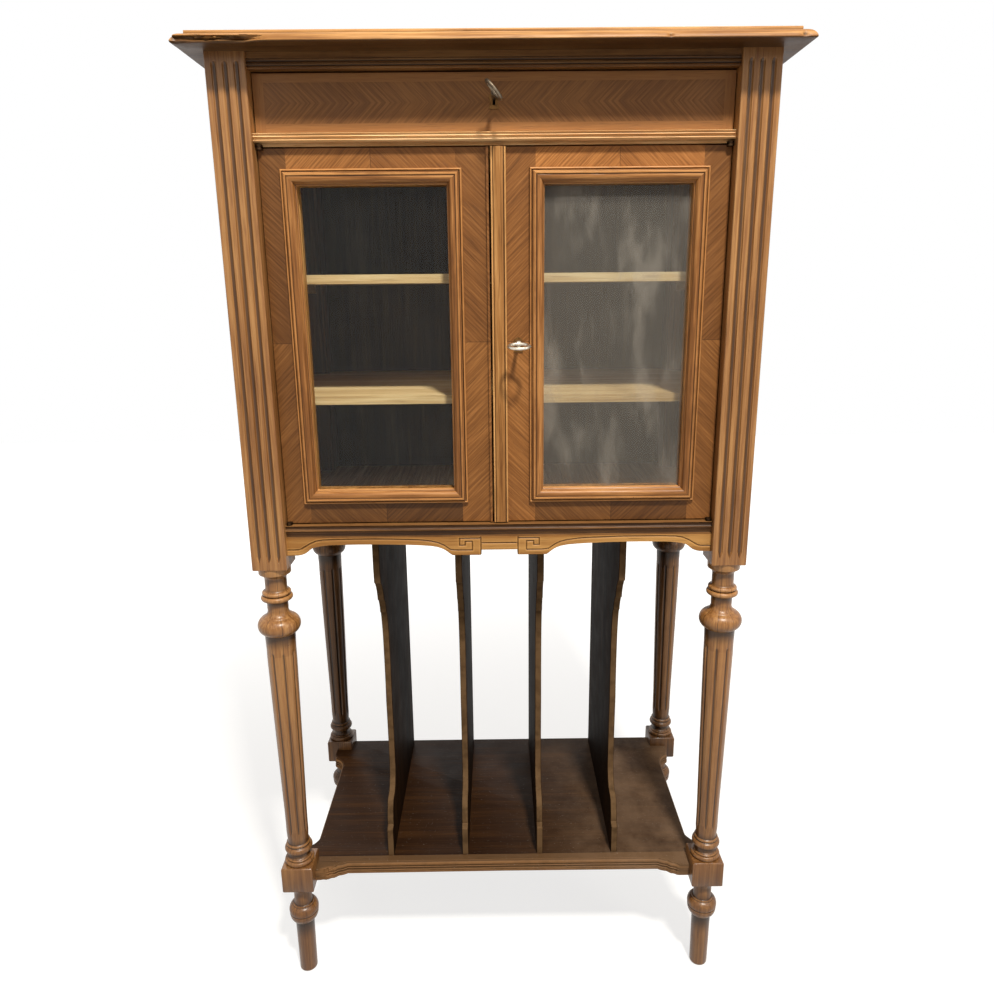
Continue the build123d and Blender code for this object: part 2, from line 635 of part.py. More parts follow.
def music_shelf():
    """The open shelf between the leg blocks, with coved corners, grooved for the dividers."""
    ear_x = HALF_WIDTH - SHELF_EAR_RECESS
    side_x = HALF_WIDTH - SHELF_SIDE_RECESS
    ear_front, front = SHELF_EAR_RECESS, SHELF_FRONT_RECESS
    back = CASE_DEPTH - SHELF_BACK_RECESS
    near, far = POST + SHELF_EAR_LENGTH, BACK_POST - SHELF_EAR_LENGTH
    cove_x = INNER - SHELF_EAR_LENGTH
    right = [
        ((cove_x - SHELF_COVE_LENGTH, front), 0), ((cove_x, ear_front), 3.6), ((INNER, ear_front), 0),
        ((INNER, POST), 0), ((ear_x, POST), 0), ((ear_x, near), 0), ((side_x, near + SIDE_COVE_LENGTH), 5),
        ((side_x, far - SIDE_COVE_LENGTH), 0), ((ear_x, far), 5), ((ear_x, BACK_POST), 0),
        ((INNER, BACK_POST), 0), ((INNER, back), 0),
    ]
    left = [((-point[0], point[1]), rise) for point, rise in right]
    steps = list(right)
    steps.append((left[-1][0], 0))
    for i in range(len(left) - 1, 0, -1):
        steps.append((left[i - 1][0], left[i][1]))
    shelf_face = face_of(left[0][0], steps)
    board = along_z(shelf_face, MUSIC_SHELF_Z - MUSIC_SHELF_THICKNESS, MUSIC_SHELF_Z)
    return board - divider_grooves(MUSIC_SHELF_Z - DADO - PLAY, MUSIC_SHELF_Z + EPS)


# Pivot hinges

def screws(side, z_face, into, grow=0.0):
    """Two countersunk screws through a hinge plate, their heads flush with its face."""
    pair = []
    for i in range(2):
        x, d = side * (PIVOT_X - 12 - i * 12), DOOR_RECESS + 2 + PLATE_WIDTH / 2
        z0, z1 = sorted((z_face, z_face + into * (SCREW_LENGTH + grow)))
        radii = (SCREW_RADIUS * 2 + grow, SCREW_RADIUS + grow)
        low, high = radii if into > 0 else radii[::-1]
        depth = PLATE_THICKNESS * 0.8
        head = Pos(x, FRONT_Y + d, z_face + into * depth / 2) * Cone(low, high, depth)
        pair.append(rod(x, d, z0, z1, SCREW_RADIUS + grow) + head)
    return pair


def plate_seat(side, z_face, up):
    """The recess in a rail for a fixed hinge plate and its two screws."""
    seat = case_plate(side, z_face, up, PLAY)
    for screw in screws(side, z_face, up, PLAY):
        seat += screw
    return seat


def case_plate(side, z_face, up, grow=0.0):
    """A fixed hinge plate let into a rail's face, with a round eye in front at the pivot."""
    z0, z1 = sorted((z_face - up * (EPS if grow else 0), z_face + up * (PLATE_THICKNESS + grow)))
    d0, d1 = DOOR_RECESS + 2, DOOR_RECESS + 2 + PLATE_WIDTH
    outer = INNER if grow else INNER - PLAY
    plate = block(side * (PIVOT_X - PLATE_LENGTH + 6 - grow), side * outer, d0 - grow, d1 + grow, z0, z1)
    plate += block(side * (PIVOT_X - PIVOT_EYE_RADIUS - grow), side * outer, PIVOT_DEPTH, d1, z0, z1)
    plate += rod(side * PIVOT_X, PIVOT_DEPTH, z0, z1, PIVOT_EYE_RADIUS + grow)
    return plate


def case_pivots():
    """Four fixed plates, each with its pin."""
    pivots = []
    for side in (-1, 1):
        for z_face, up in ((RAIL_FOOT_Z, 1), (STAND_HEIGHT, -1)):
            plate = case_plate(side, z_face, up)
            tip = z_face - up * (REVEAL + PLATE_THICKNESS)
            z0, z1 = sorted((tip, z_face + up * PLATE_THICKNESS))
            plate += rod(side * PIVOT_X, PIVOT_DEPTH, z0, z1, PIVOT_PIN_RADIUS)
            z0, z1 = sorted((z_face - up * (REVEAL - PLAY), z_face + up * PLATE_THICKNESS))
            plate += rod(side * PIVOT_X, PIVOT_DEPTH, z0, z1, PIVOT_COLLAR_RADIUS)
            plate -= screws(side, z_face, up, PLAY / 2)
            pivots += [plate] + screws(side, z_face, up)
    return pivots


def door_plate(side, z_face, up, grow=0.0):
    """A hinge plate let into a door's top or bottom edge, with its eye in front of the door's face."""
    z0, z1 = sorted((z_face + up * (EPS if grow else 0), z_face - up * (PLATE_THICKNESS + grow)))
    d0, d1 = DOOR_RECESS + 2, DOOR_RECESS + 2 + PLATE_WIDTH
    outer = PIVOT_X + PIVOT_INSET + (EPS if grow else 0)
    plate = block(side * (PIVOT_X - PLATE_LENGTH + 6 - grow), side * outer, d0 - grow, d1 + grow, z0, z1)
    plate += block(side * (PIVOT_X - PIVOT_EYE_RADIUS - grow), side * outer, PIVOT_DEPTH, d1, z0, z1)
    if not grow:
        plate += rod(side * PIVOT_X, PIVOT_DEPTH, z0, z1, PIVOT_EYE_RADIUS)
        plate -= rod(side * PIVOT_X, PIVOT_DEPTH, z0 - EPS, z1 + EPS, PIVOT_PIN_RADIUS + PIVOT_CLEARANCE)
        plate -= block(side * (PIVOT_X + PIVOT_INSET), side * INNER, PIVOT_DEPTH - 6, DOOR_BACK,
                       z0 - EPS, z1 + EPS)
    return plate


def door_plates(side):
    """The two plates of one door."""
    plates = []
    for z_face, up in ((DOOR_TOP_Z, 1), (DOOR_FOOT_Z, -1)):
        plate = door_plate(side, z_face, up) - screws(side, z_face, -up, PLAY / 2)
        plates += [plate] + screws(side, z_face, -up)
    return plates


def door_seats(side):
    """Recesses and screw holes in a door for its hinge plates."""
    seats = []
    for z_face, up in ((DOOR_TOP_Z, 1), (DOOR_FOOT_Z, -1)):
        seats += [door_plate(side, z_face, up, PLAY)] + screws(side, z_face, -up, PLAY)
    return seats[0] + seats[1:]


# Doors

class Door:
    """Sizes of one door; side is -1 for the left door and 1 for the right one."""

    def __init__(self, side, meeting_edge, meeting_margin):
        """Works out the frame, the moulding and the sight opening."""
        self.side = side
        self.hinge_edge = side * (INNER - SMALL_GAP)
        self.meeting_edge = meeting_edge
        self.x0, self.x1 = sorted((self.hinge_edge, meeting_edge))
        outer = self.hinge_edge - side * HINGE_MARGIN
        inner = meeting_edge + side * meeting_margin
        self.m0, self.m1 = sorted((outer, inner))
        self.mz0, self.mz1 = DOOR_FOOT_Z + BOTTOM_MARGIN, DOOR_TOP_Z - TOP_MARGIN

    def opening(self, inset):
        """Corners of the moulding's outer rectangle, taken in by an inset."""
        return self.m0 + inset, self.m1 - inset, self.mz0 + inset, self.mz1 - inset

    def stile(self, hinge):
        """One full-height stile, mortised for the rails."""
        a0, a1, z0, z1 = self.opening(MOULDING_LAP)
        left = hinge == (self.side < 0)
        x0, x1 = (self.x0, a0) if left else (a1, self.x1)
        stile = block(x0, x1, DOOR_RECESS, DOOR_BACK, DOOR_FOOT_Z, DOOR_TOP_Z)
        edge = a0 if left else a1
        way = -1 if left else 1
        middle = DOOR_RECESS + DOOR_THICKNESS / 2
        half = FRAME_TENON_THICKNESS / 2 + PLAY
        for t0, t1 in self.tenons():
            stile -= block(edge - way * EPS, edge + way * (FRAME_TENON + PLAY), middle - half, middle + half,
                           t0 - PLAY, t1 + PLAY)
        if hinge:
            stile -= door_seats(self.side)
        return stile

    def tenons(self):
        """Heights of the tenons of the bottom and top rail."""
        z0, z1 = self.opening(MOULDING_LAP)[2:]
        return (DOOR_FOOT_Z + SCREW_LENGTH + 2, z0 - 4), (z1 + 4, DOOR_TOP_Z - SCREW_LENGTH - 2)

    def rail(self, upper):
        """The top or bottom rail with its two tenons."""
        a0, a1, z0, z1 = self.opening(MOULDING_LAP)
        low, high = (z1, DOOR_TOP_Z) if upper else (DOOR_FOOT_Z, z0)
        rail = block(a0, a1, DOOR_RECESS, DOOR_BACK, low, high)
        t0, t1 = self.tenons()[1 if upper else 0]
        middle = DOOR_RECESS + DOOR_THICKNESS / 2
        half = FRAME_TENON_THICKNESS / 2
        return rail + block(a0 - FRAME_TENON, a1 + FRAME_TENON, middle - half, middle + half, t0, t1)

    def ring(self, outer, inner, d0, d1):
        """Four mitred strips between two rectangles."""
        o, i = self.opening(outer), self.opening(inner)
        corners_out = [(o[0], o[2]), (o[1], o[2]), (o[1], o[3]), (o[0], o[3])]
        corners_in = [(i[0], i[2]), (i[1], i[2]), (i[1], i[3]), (i[0], i[3])]
        strips = []
        for n in range(4):
            m = (n + 1) % 4
            outline = [corners_out[n], corners_out[m], corners_in[m], corners_in[n]]
            strips.append(along_y(make_face(Polyline(*outline, close=True)), d0, d1))
        return strips

    def moulding(self):
        """The bolection moulding: four mitred strips that lap the frame in front of the glass."""
        profile = face_of((0, DOOR_RECESS), [
            ((0, DOOR_RECESS - MOULDING_EDGE_RISE), 0), ((6, DOOR_RECESS - MOULDING_RISE), 1.4),
            ((10, DOOR_RECESS - MOULDING_RISE), 0), ((MOULDING_WIDTH, DOOR_RECESS + 1), 1.8),
            ((MOULDING_WIDTH, DOOR_RECESS + MOULDING_BODY), 0),
            ((MOULDING_LAP + PLAY, DOOR_RECESS + MOULDING_BODY), 0), ((MOULDING_LAP + PLAY, DOOR_RECESS), 0),
        ])
        x0, x1, z0, z1 = self.opening(0)
        strips = []
        front, back = DOOR_RECESS - MOULDING_RISE - 3, DOOR_RECESS + MOULDING_BODY + 2
        sides = self.ring(0, MOULDING_WIDTH, front, back)
        bar = along_y_profile(profile, z0, z1)
        upright_left = Pos(x0, 0, 0) * bar
        upright_right = Pos(x1, 0, 0) * mirror(bar, Plane.YZ)
        lying = along_x_profile(profile, x0, x1)
        low = Pos(0, 0, z0) * lying
        high = Pos(0, 0, z1) * mirror(lying, Plane.XY)
        for strip, solid in zip(sides, (low, upright_right, high, upright_left)):
            strips.append(strip & solid)
        return strips

    def glass(self):
        """The bevelled pane behind the moulding."""
        x0, x1, z0, z1 = self.opening(MOULDING_WIDTH - GLASS_LAP)
        d0 = DOOR_RECESS + MOULDING_BODY + GLASS_SEAT - GLASS_BEVEL_DROP
        d1 = d0 + GLASS_THICKNESS
        pane = block(x0, x1, d0 + GLASS_BEVEL_DROP, d1, z0, z1)
        y_face = FRONT_Y + d0
        width, height = x1 - x0, z1 - z0
        middle = ((x0 + x1) / 2, y_face + GLASS_BEVEL_DROP, (z0 + z1) / 2)
        base = Plane(origin=middle, x_dir=(1, 0, 0), z_dir=(0, -1, 0))
        rim = GLASS_BEVEL_WIDTH + GLASS_LAP
        front = base.offset(GLASS_BEVEL_DROP) * Rectangle(width - 2 * rim, height - 2 * rim)
        bevel = loft([base * Rectangle(width, height), front], ruled=True)
        return pane + bevel

    def glazing_beads(self):
        """Four strips that hold the glass from the back."""
        d0 = DOOR_RECESS + MOULDING_BODY + GLASS_SEAT - GLASS_BEVEL_DROP + GLASS_THICKNESS + BEAD_GAP
        return self.ring(MOULDING_LAP + PLAY, MOULDING_WIDTH, d0, DOOR_BACK)


def along_y_profile(profile, z0, z1):
    """A moulding's section, drawn as (across, depth), run upwards."""
    return Pos(0, FRONT_Y, z0) * extrude(profile, z1 - z0)


def along_x_profile(profile, x0, x1):
    """A moulding's section, drawn as (height, depth), run to the right."""
    plane = Plane(origin=(x0, FRONT_Y, 0), x_dir=(0, 0, 1), z_dir=(-1, 0, 0))
    return extrude(plane * profile, -(x1 - x0))


def slide_bolt_x():
    """Middle of the left door's slide bolts."""
    return LEFT_EDGE - SLIDE_BOLT_FROM_EDGE


def slide_bolt_depth():
    """Middle of the slide bolts' thickness, behind the door."""
    return DOOR_BACK + SLIDING_FIT + SLIDE_BOLT_THICKNESS / 2


def slide_bolt_path(z0, z1):
    """The hole that a slide bolt shoots into."""
    x, d = slide_bolt_x(), slide_bolt_depth()
    half_x = SLIDE_BOLT_WIDTH / 2 + 0.5
    half_d = SLIDE_BOLT_THICKNESS / 2 + 0.5
    return block(x - half_x, x + half_x, d - half_d, d + half_d, z0, z1)


def slide_bolt(upper):
    """A flat bolt with a round knob, drawn back inside the door's height."""
    x, d = slide_bolt_x(), slide_bolt_depth()
    half_x, half_d = SLIDE_BOLT_WIDTH / 2, SLIDE_BOLT_THICKNESS / 2
    end = DOOR_TOP_Z if upper else DOOR_FOOT_Z
    way = -1 if upper else 1
    z0, z1 = sorted((end, end + way * SLIDE_BOLT_LENGTH))
    bolt = block(x - half_x, x + half_x, d - half_d, d + half_d, z0, z1)
    knob_z = end + way * (SLIDE_BOLT_LENGTH - 8)
    knob = rod_y(x, knob_z, d + half_d - EPS, d + half_d + KNOB_RISE, KNOB_RADIUS)
    return bolt + knob


def bolt_guides():
    """A bridge over each slide bolt, screwed to the back of the left door."""
    x, d = slide_bolt_x(), slide_bolt_depth()
    inner_x = SLIDE_BOLT_WIDTH / 2 + SLIDING_FIT
    inner_d = d + SLIDE_BOLT_THICKNESS / 2 + SLIDING_FIT
    guides = []
    for end, way in ((DOOR_TOP_Z, -1), (DOOR_FOOT_Z, 1)):
        z0, z1 = sorted((end + way * 6, end + way * 36))
        outer_x = inner_x + GUIDE_WALL
        outer = block(x - outer_x, x + outer_x, DOOR_BACK, inner_d + GUIDE_WALL, z0, z1)
        foot = block(x - inner_x - 8, x + inner_x + 8, DOOR_BACK, DOOR_BACK + 1.2, z0, z1)
        hollow = block(x - inner_x, x + inner_x, DOOR_BACK - EPS, inner_d, z0 - EPS, z1 + EPS)
        guides.append(outer + foot - hollow)
    return guides


# Locks and keys

def lock_case(x0, x1, z0, z1, key_x, key_z, seat):
    """A rim lock's case on its seat, hollow, with a round hole for the key."""
    d0, d1 = seat, seat + LOCK_DEPTH
    case = block(x0, x1, d0, d1, z0, z1)
    case -= block(x0 + LOCK_WALL, x1 - LOCK_WALL, d0 + LOCK_WALL, d1 - LOCK_WALL,
                  z0 + LOCK_WALL, z1 - LOCK_WALL)
    return case - rod_y(key_x, key_z, d0 - EPS, d0 + LOCK_WALL + EPS, KEY_BIT_LENGTH + 1.2)


def bolt_plane(seat):
    """Depths of a lock bolt, in front of the case's back wall and behind the key's bit."""
    d1 = seat + LOCK_DEPTH - LOCK_WALL - SLIDING_FIT
    return d1 - LOCK_BOLT_THICKNESS, d1


def door_lock_case():
    """The door lock, with the slot that its bolt leaves by."""
    x0 = RIGHT_EDGE + LOCK_FROM_EDGE
    half = LOCK_HEIGHT / 2
    case = lock_case(x0, x0 + LOCK_WIDTH, DOOR_KEY_Z - half, DOOR_KEY_Z + half, DOOR_KEY_X, DOOR_KEY_Z,
                     DOOR_BACK)
    return case - door_bolt(SLIDING_FIT, 2)


def door_bolt(grow=0.0, reach=0.0):
    """The door lock's bolt, drawn back flush with the case."""
    d0, d1 = bolt_plane(DOOR_BACK)
    x0 = RIGHT_EDGE + LOCK_FROM_EDGE
    half = LOCK_BOLT_HEIGHT / 2
    return block(x0 + 0.3 - reach, x0 + (LOCK_WALL + 1 if reach else 27), d0 - grow, d1 + grow,
                 DOOR_KEY_Z - half - grow, DOOR_KEY_Z + half + grow)


def lock_keeper():
    """The keeper on the back of the left door that takes the lock's bolt."""
    d0, d1 = bolt_plane(DOOR_BACK)
    half = LOCK_BOLT_HEIGHT / 2
    x1 = LEFT_EDGE - KEEPER_FROM_EDGE
    x0 = x1 - KEEPER_WIDTH
    body = block(x0, x1, DOOR_BACK, d1 + 0.6 + LOCK_WALL, DOOR_KEY_Z - half - 4, DOOR_KEY_Z + half + 4)
    room = half + 0.6
    return body - block(x0 + LOCK_WALL, x1 + EPS, d0 - 0.6, d1 + 0.6, DOOR_KEY_Z - room, DOOR_KEY_Z + room)


def drawer_lock_case():
    """The drawer lock, with the slot at its top that its bolt leaves by."""
    half = LOCK_WIDTH / 2
    z1 = DRAWER_TOP_Z - LOCK_FROM_EDGE
    z0 = DRAWER_KEY_Z - KEY_BIT_LENGTH - 6
    case = lock_case(DRAWER_KEY_X - half, DRAWER_KEY_X + half, z0, z1, DRAWER_KEY_X, DRAWER_KEY_Z,
                     DRAWER_BACK)
    return case - drawer_bolt(SLIDING_FIT, 2)


def drawer_bolt(grow=0.0, reach=0.0):
    """The drawer lock's bolt, drawn back flush with the case."""
    d0, d1 = bolt_plane(DRAWER_BACK)
    half = LOCK_BOLT_HEIGHT / 2
    z1 = DRAWER_TOP_Z - LOCK_FROM_EDGE
    z0 = z1 - (LOCK_WALL + 1 if reach else 24)
    return block(DRAWER_KEY_X - half - grow, DRAWER_KEY_X + half + grow, d0 - grow, d1 + grow,
                 z0, z1 - 0.3 + reach)


def drawer_bolt_path():
    """The hole in the frieze rail that the drawer's bolt shoots into."""
    d0, d1 = bolt_plane(DRAWER_BACK)
    half = LOCK_BOLT_HEIGHT / 2 + 1
    return block(DRAWER_KEY_X - half, DRAWER_KEY_X + half, d0 - 1, d1 + 1,
                 FRIEZE_FOOT_Z - EPS, FRIEZE_FOOT_Z + BOLT_MORTISE)


def keyhole(x, z, d0, d1, grow=0.0):
    """A keyhole: a round hole with a slot below it for the bit."""
    radius = KEY_SHANK_RADIUS + KEY_FIT + grow
    half = KEY_BIT_THICKNESS / 2 + 0.6 + grow
    return rod_y(x, z, d0, d1, radius) + block(x - half, x + half, d0, d1, z - KEY_BIT_LENGTH - 1 - grow, z)


def escutcheon(x, z):
    """A thin keyhole-shaped plate on the wood, with its keyhole."""
    d0, d1 = DOOR_RECESS - ESCUTCHEON_THICKNESS, DOOR_RECESS
    plate = rod_y(x, z, d0, d1, 6.6)
    skirt = Polyline((x - 3.6, z), (x - 6.4, z - 13.2), (x + 6.4, z - 13.2), (x + 3.6, z), close=True)
    plate += along_y(make_face(skirt), d0, d1)
    return plate - keyhole(x, z, d0 - EPS, d1 + EPS)


def key(x, z, tilt, lean, seat):
    """A key: an oval bow, a collar, a round shank and a flat bit inside the lock."""
    bit_d1 = bolt_plane(seat)[0] - SLIDING_FIT
    bit_d0 = bit_d1 - KEY_BIT_HEIGHT
    front = DOOR_RECESS - KEY_REACH
    bow_back = front + BOW_LENGTH
    shank = rod_y(0, 0, bow_back - BOW_WIRE / 2, bit_d1, KEY_SHANK_RADIUS)
    shank += rod_y(0, 0, bow_back - 1, bow_back + 2.5, KEY_SHANK_RADIUS + 1.2)
    bit = block(-KEY_BIT_THICKNESS / 2, KEY_BIT_THICKNESS / 2, bit_d0, bit_d1, -KEY_BIT_LENGTH, 0)
    half_z, half_d = (BOW_WIDTH - BOW_WIRE) / 2, (BOW_LENGTH - BOW_WIRE) / 2
    oval = Plane(origin=(0, -half_d, 0), x_dir=(0, 0, 1), z_dir=(1, 0, 0)) * Ellipse(half_z, half_d)
    path = oval.wire()
    start = Plane(origin=path @ 0, z_dir=path % 0)
    bow = Rot(0, 0, lean) * sweep(start * Circle(BOW_WIRE / 2), path)
    bow = Pos(0, FRONT_Y + bow_back - BOW_WIRE / 2, 0) * bow
    return Pos(x, 0, z) * Rot(0, tilt, 0) * (shank + bit + bow)


# Drawer

def drawer_front():
    """The drawer front, grooved behind for the bottom and sides, and bored for the lock."""
    edge = INNER - SMALL_GAP
    back = DRAWER_BACK
    front = block(-edge, edge, DOOR_RECESS, back, DRAWER_FOOT_Z, DRAWER_TOP_Z)
    z0, z1 = drawer_side_levels()
    for side in (-1, 1):
        front -= block(side * (edge - 1 - DRAWER_SIDE_THICKNESS - PLAY), side * (edge - 1 + PLAY),
                       back - 2 * DRAWER_GROOVE - PLAY, back + EPS, z0 - PLAY, z1 + PLAY)
    b0, b1 = drawer_bottom_levels()
    inner = edge - 1 - DRAWER_SIDE_THICKNESS
    front -= block(-inner, inner, back - DRAWER_GROOVE - PLAY, back + EPS, b0 - PLAY, b1 + PLAY)
    return front - keyhole(DRAWER_KEY_X, DRAWER_KEY_Z, DOOR_RECESS - EPS, back + EPS, 0.5)


def drawer_side_levels():
    """Bottom and top of the drawer sides."""
    return DRAWER_FOOT_Z, DRAWER_TOP_Z - DRAWER_SIDE_DROP


def drawer_bottom_levels():
    """Underside and top of the drawer bottom."""
    z0 = DRAWER_FOOT_Z + DRAWER_BOTTOM_LIFT
    return z0, z0 + DRAWER_BOTTOM_THICKNESS


def drawer_sides():
    """The two drawer sides, tongued into the front and grooved for the bottom."""
    outer = INNER - SMALL_GAP - 1
    back = DRAWER_BACK
    z0, z1 = drawer_side_levels()
    b0, b1 = drawer_bottom_levels()
    sides = []
    for side in (-1, 1):
        board = block(side * (outer - DRAWER_SIDE_THICKNESS), side * outer, back - 2 * DRAWER_GROOVE,
                      DOOR_RECESS + DRAWER_LENGTH, z0, z1)
        inner = outer - DRAWER_SIDE_THICKNESS
        board -= block(side * (inner - EPS), side * (inner + DRAWER_GROOVE + PLAY), 0,
                       DOOR_RECESS + DRAWER_LENGTH + EPS, b0 - PLAY, b1 + PLAY)
        sides.append(board)
    return sides


def drawer_back():
    """The drawer back, standing on the bottom between the sides."""
    inner = INNER - SMALL_GAP - 1 - DRAWER_SIDE_THICKNESS
    end = DOOR_RECESS + DRAWER_LENGTH
    return block(-inner, inner, end - 14, end - 2, drawer_bottom_levels()[1], drawer_side_levels()[1] - 2)


def drawer_bottom():
    """The drawer bottom, in its grooves."""
    inner = INNER - SMALL_GAP - 1 - DRAWER_SIDE_THICKNESS + DRAWER_GROOVE
    back = DRAWER_BACK
    narrow = inner - DRAWER_GROOVE - PLAY
    z0, z1 = drawer_bottom_levels()
    board = block(-narrow, narrow, back - DRAWER_GROOVE, back + EPS, z0, z1)
    return board + block(-inner, inner, back + PLAY, DOOR_RECESS + DRAWER_LENGTH - 2, z0, z1)


# The whole cabinet

def build():
    """Makes and writes every node."""
    os.makedirs("parts", exist_ok=True)
    turning = turned_leg()
    for front, place in ((True, "front"), (False, "back")):
        leg = right_leg(turning, front)
        save("leg_" + place + "_right", leg)
        save("leg_" + place + "_left", mirrored(leg))
    save("top_board", top_board())
    save("frieze_rail", frieze_rail())
    save("drawer_rail", drawer_rail())
    save("base_rail", base_rail())
    save("apron_front", apron_front())
    for name, piece in (("side_panel", side_panel()), ("side_apron", side_apron())):
        save(name + "_right", piece)
        save(name + "_left", mirrored(piece))
    lower, upper = back_rail_levels()
    save("back_rails", [back_rail(FLOOR_FOOT_Z - BACK_RAIL_HEIGHT, FLOOR_FOOT_Z, lower),
                        back_rail(TOP_FOOT_Z - BACK_RAIL_HEIGHT, TOP_FOOT_Z, upper)])
    save("back_panel", back_panel())
    save("case_floor", case_floor())
    save("dust_board", floor_board(RAIL_FOOT_Z, RAIL_FOOT_Z + DUST_BOARD_THICKNESS))
    save("drawer_runners", drawer_runners())
    save("shelf_lower", shelf(LOWER_SHELF_Z))
    save("shelf_upper", shelf(UPPER_SHELF_Z))
    save("shelf_cleats", shelf_cleats())
    save("music_shelf", music_shelf())
    for number, x in enumerate(divider_centres(), 1):
        save("music_divider_" + str(number), divider(x))
    save("case_pivots", case_pivots())

    left = Door(-1, LEFT_EDGE, LEFT_MEETING_MARGIN)
    right = Door(1, RIGHT_EDGE, RIGHT_MEETING_MARGIN)
    for name, door in (("left_door", left), ("right_door", right)):
        save(name + "_hinge_stile", door.stile(True))
        save(name + "_top_rail", door.rail(True))
        save(name + "_bottom_rail", door.rail(False))
        save(name + "_moulding", door.moulding())
        save(name + "_glass", door.glass())
        save(name + "_glazing_beads", door.glazing_beads())
        save(name + "_pivot_plates", door_plates(door.side))
    nosing = block(LEFT_EDGE - NOSING_WIDTH, LEFT_EDGE, DOOR_RECESS - NOSING_RISE, DOOR_RECESS + EPS,
                   DOOR_FOOT_Z, DOOR_TOP_Z)
    save("left_door_meeting_stile", left.stile(False) + nosing)
    key_way = keyhole(DOOR_KEY_X, DOOR_KEY_Z, DOOR_RECESS - EPS, DOOR_BACK + EPS, 0.5)
    save("right_door_meeting_stile", right.stile(False) - key_way)
    save("right_door_astragal", block(RIGHT_EDGE, RIGHT_EDGE + ASTRAGAL_WIDTH, DOOR_RECESS - ASTRAGAL_RISE,
                                      DOOR_RECESS, DOOR_FOOT_Z, DOOR_TOP_Z))
    save("left_door_upper_bolt", slide_bolt(True))
    save("left_door_lower_bolt", slide_bolt(False))
    save("left_door_bolt_guides", bolt_guides())
    save("left_door_lock_keeper", lock_keeper())
    save("right_door_lock_case", door_lock_case())
    save("right_door_lock_bolt", door_bolt())
    save("right_door_escutcheon", escutcheon(DOOR_KEY_X, DOOR_KEY_Z))
    save("right_door_key", key(DOOR_KEY_X, DOOR_KEY_Z, DOOR_KEY_TILT, DOOR_KEY_LEAN, DOOR_BACK))

    save("drawer_front", drawer_front())
    save("drawer_sides", drawer_sides())
    save("drawer_back", drawer_back())
    save("drawer_bottom", drawer_bottom())
    save("drawer_lock_case", drawer_lock_case())
    save("drawer_lock_bolt", drawer_bolt())
    save("drawer_escutcheon", escutcheon(DRAWER_KEY_X, DRAWER_KEY_Z))
    save("drawer_key", key(DRAWER_KEY_X, DRAWER_KEY_Z, DRAWER_KEY_TILT, DRAWER_KEY_LEAN, DRAWER_BACK))
    print(len(written), "nodes")


build()
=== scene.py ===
"""A music cabinet: glazed cupboard and drawer on turned legs, over a shelf with upright dividers."""

from __future__ import annotations

import logging
import math
from dataclasses import dataclass, field
from enum import Enum

import bmesh
import bpy
import numpy as np
from mathutils import Matrix, Vector


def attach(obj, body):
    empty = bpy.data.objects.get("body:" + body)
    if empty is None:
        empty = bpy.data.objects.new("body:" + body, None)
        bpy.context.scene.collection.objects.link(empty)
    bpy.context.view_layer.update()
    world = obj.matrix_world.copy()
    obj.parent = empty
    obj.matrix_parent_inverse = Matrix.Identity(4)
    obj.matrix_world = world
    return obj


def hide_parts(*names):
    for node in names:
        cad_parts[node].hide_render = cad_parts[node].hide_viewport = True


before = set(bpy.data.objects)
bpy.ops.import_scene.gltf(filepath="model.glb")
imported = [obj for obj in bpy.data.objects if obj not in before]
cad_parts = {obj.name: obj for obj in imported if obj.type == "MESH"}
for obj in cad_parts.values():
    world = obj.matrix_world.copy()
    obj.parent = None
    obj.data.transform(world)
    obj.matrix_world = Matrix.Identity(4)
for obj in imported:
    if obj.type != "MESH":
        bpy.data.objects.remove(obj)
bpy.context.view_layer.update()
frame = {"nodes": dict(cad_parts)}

LOG = logging.getLogger("cabinet")
MM = 0.001

# Millimetres: across from the cabinet's middle, deep from the front of its posts, high from the floor.
FRONT_Y = -184.0  # where the posts' front lies in the frame
HALF = 350.0  # half the width over the posts
POST = 49.0  # a post's side
INNER = HALF - POST  # half the way between the posts
DEPTH = 398.0  # from the front to the back of the posts
POST_FOOT = 709.0
TOP_FOOT = 1373.0  # the top board's underside

Colour = tuple[float, float, float]
Point = tuple[float, float, float]
Steps = list[tuple[tuple[float, float], float]]
Socket = bpy.types.NodeSocket


class Axis(Enum):
    """The direction that a board's grain runs in."""

    X = 0
    Y = 1
    Z = 2


class Join(Enum):
    """Where two sheets of veneer meet in a chevron."""

    ACROSS = "z"
    DOWN = "x"


# Curves and surfaces


def traced(start: tuple[float, float], steps: Steps, fine: float = 1.2) -> np.ndarray:
    """Points along straight lines and circular arcs.

    An arc of chord c and rise h has radius (c^2/4 + h^2) / 2h; points are spaced evenly in angle.

    Args:
        start: first point.
        steps: each an end point and the arc's rise, positive to the left of the way, zero for a line.
        fine: longest spacing of the points on an arc, in millimetres.

    Returns:
        An array of shape (n, 2).
    """
    here = np.array(start, float)
    parts = [here[None]]
    for end, rise in steps:
        end = np.array(end, float)
        chord = end - here
        length = float(np.hypot(*chord))
        if rise and length > 0:
            half = length / 2
            radius = (half * half + rise * rise) / (2 * abs(rise))
            sweep = 2 * math.asin(min(1.0, half / radius))
            if abs(rise) > half:
                sweep = 2 * math.pi - sweep
            count = max(3, int(radius * sweep / fine) + 1)
            left = np.array((-chord[1], chord[0])) / length
            side = math.copysign(1.0, rise)
            centre = (here + end) / 2 - left * side * (radius - abs(rise))
            first = here - centre
            turn = -side * np.linspace(0, sweep, count + 1)[1:]
            cos, sin = np.cos(turn), np.sin(turn)
            across = first[0] * cos - first[1] * sin
            parts.append(centre + np.stack((across, first[0] * sin + first[1] * cos), 1))
        else:
            parts.append(end[None])
        here = end
    return np.concatenate(parts)


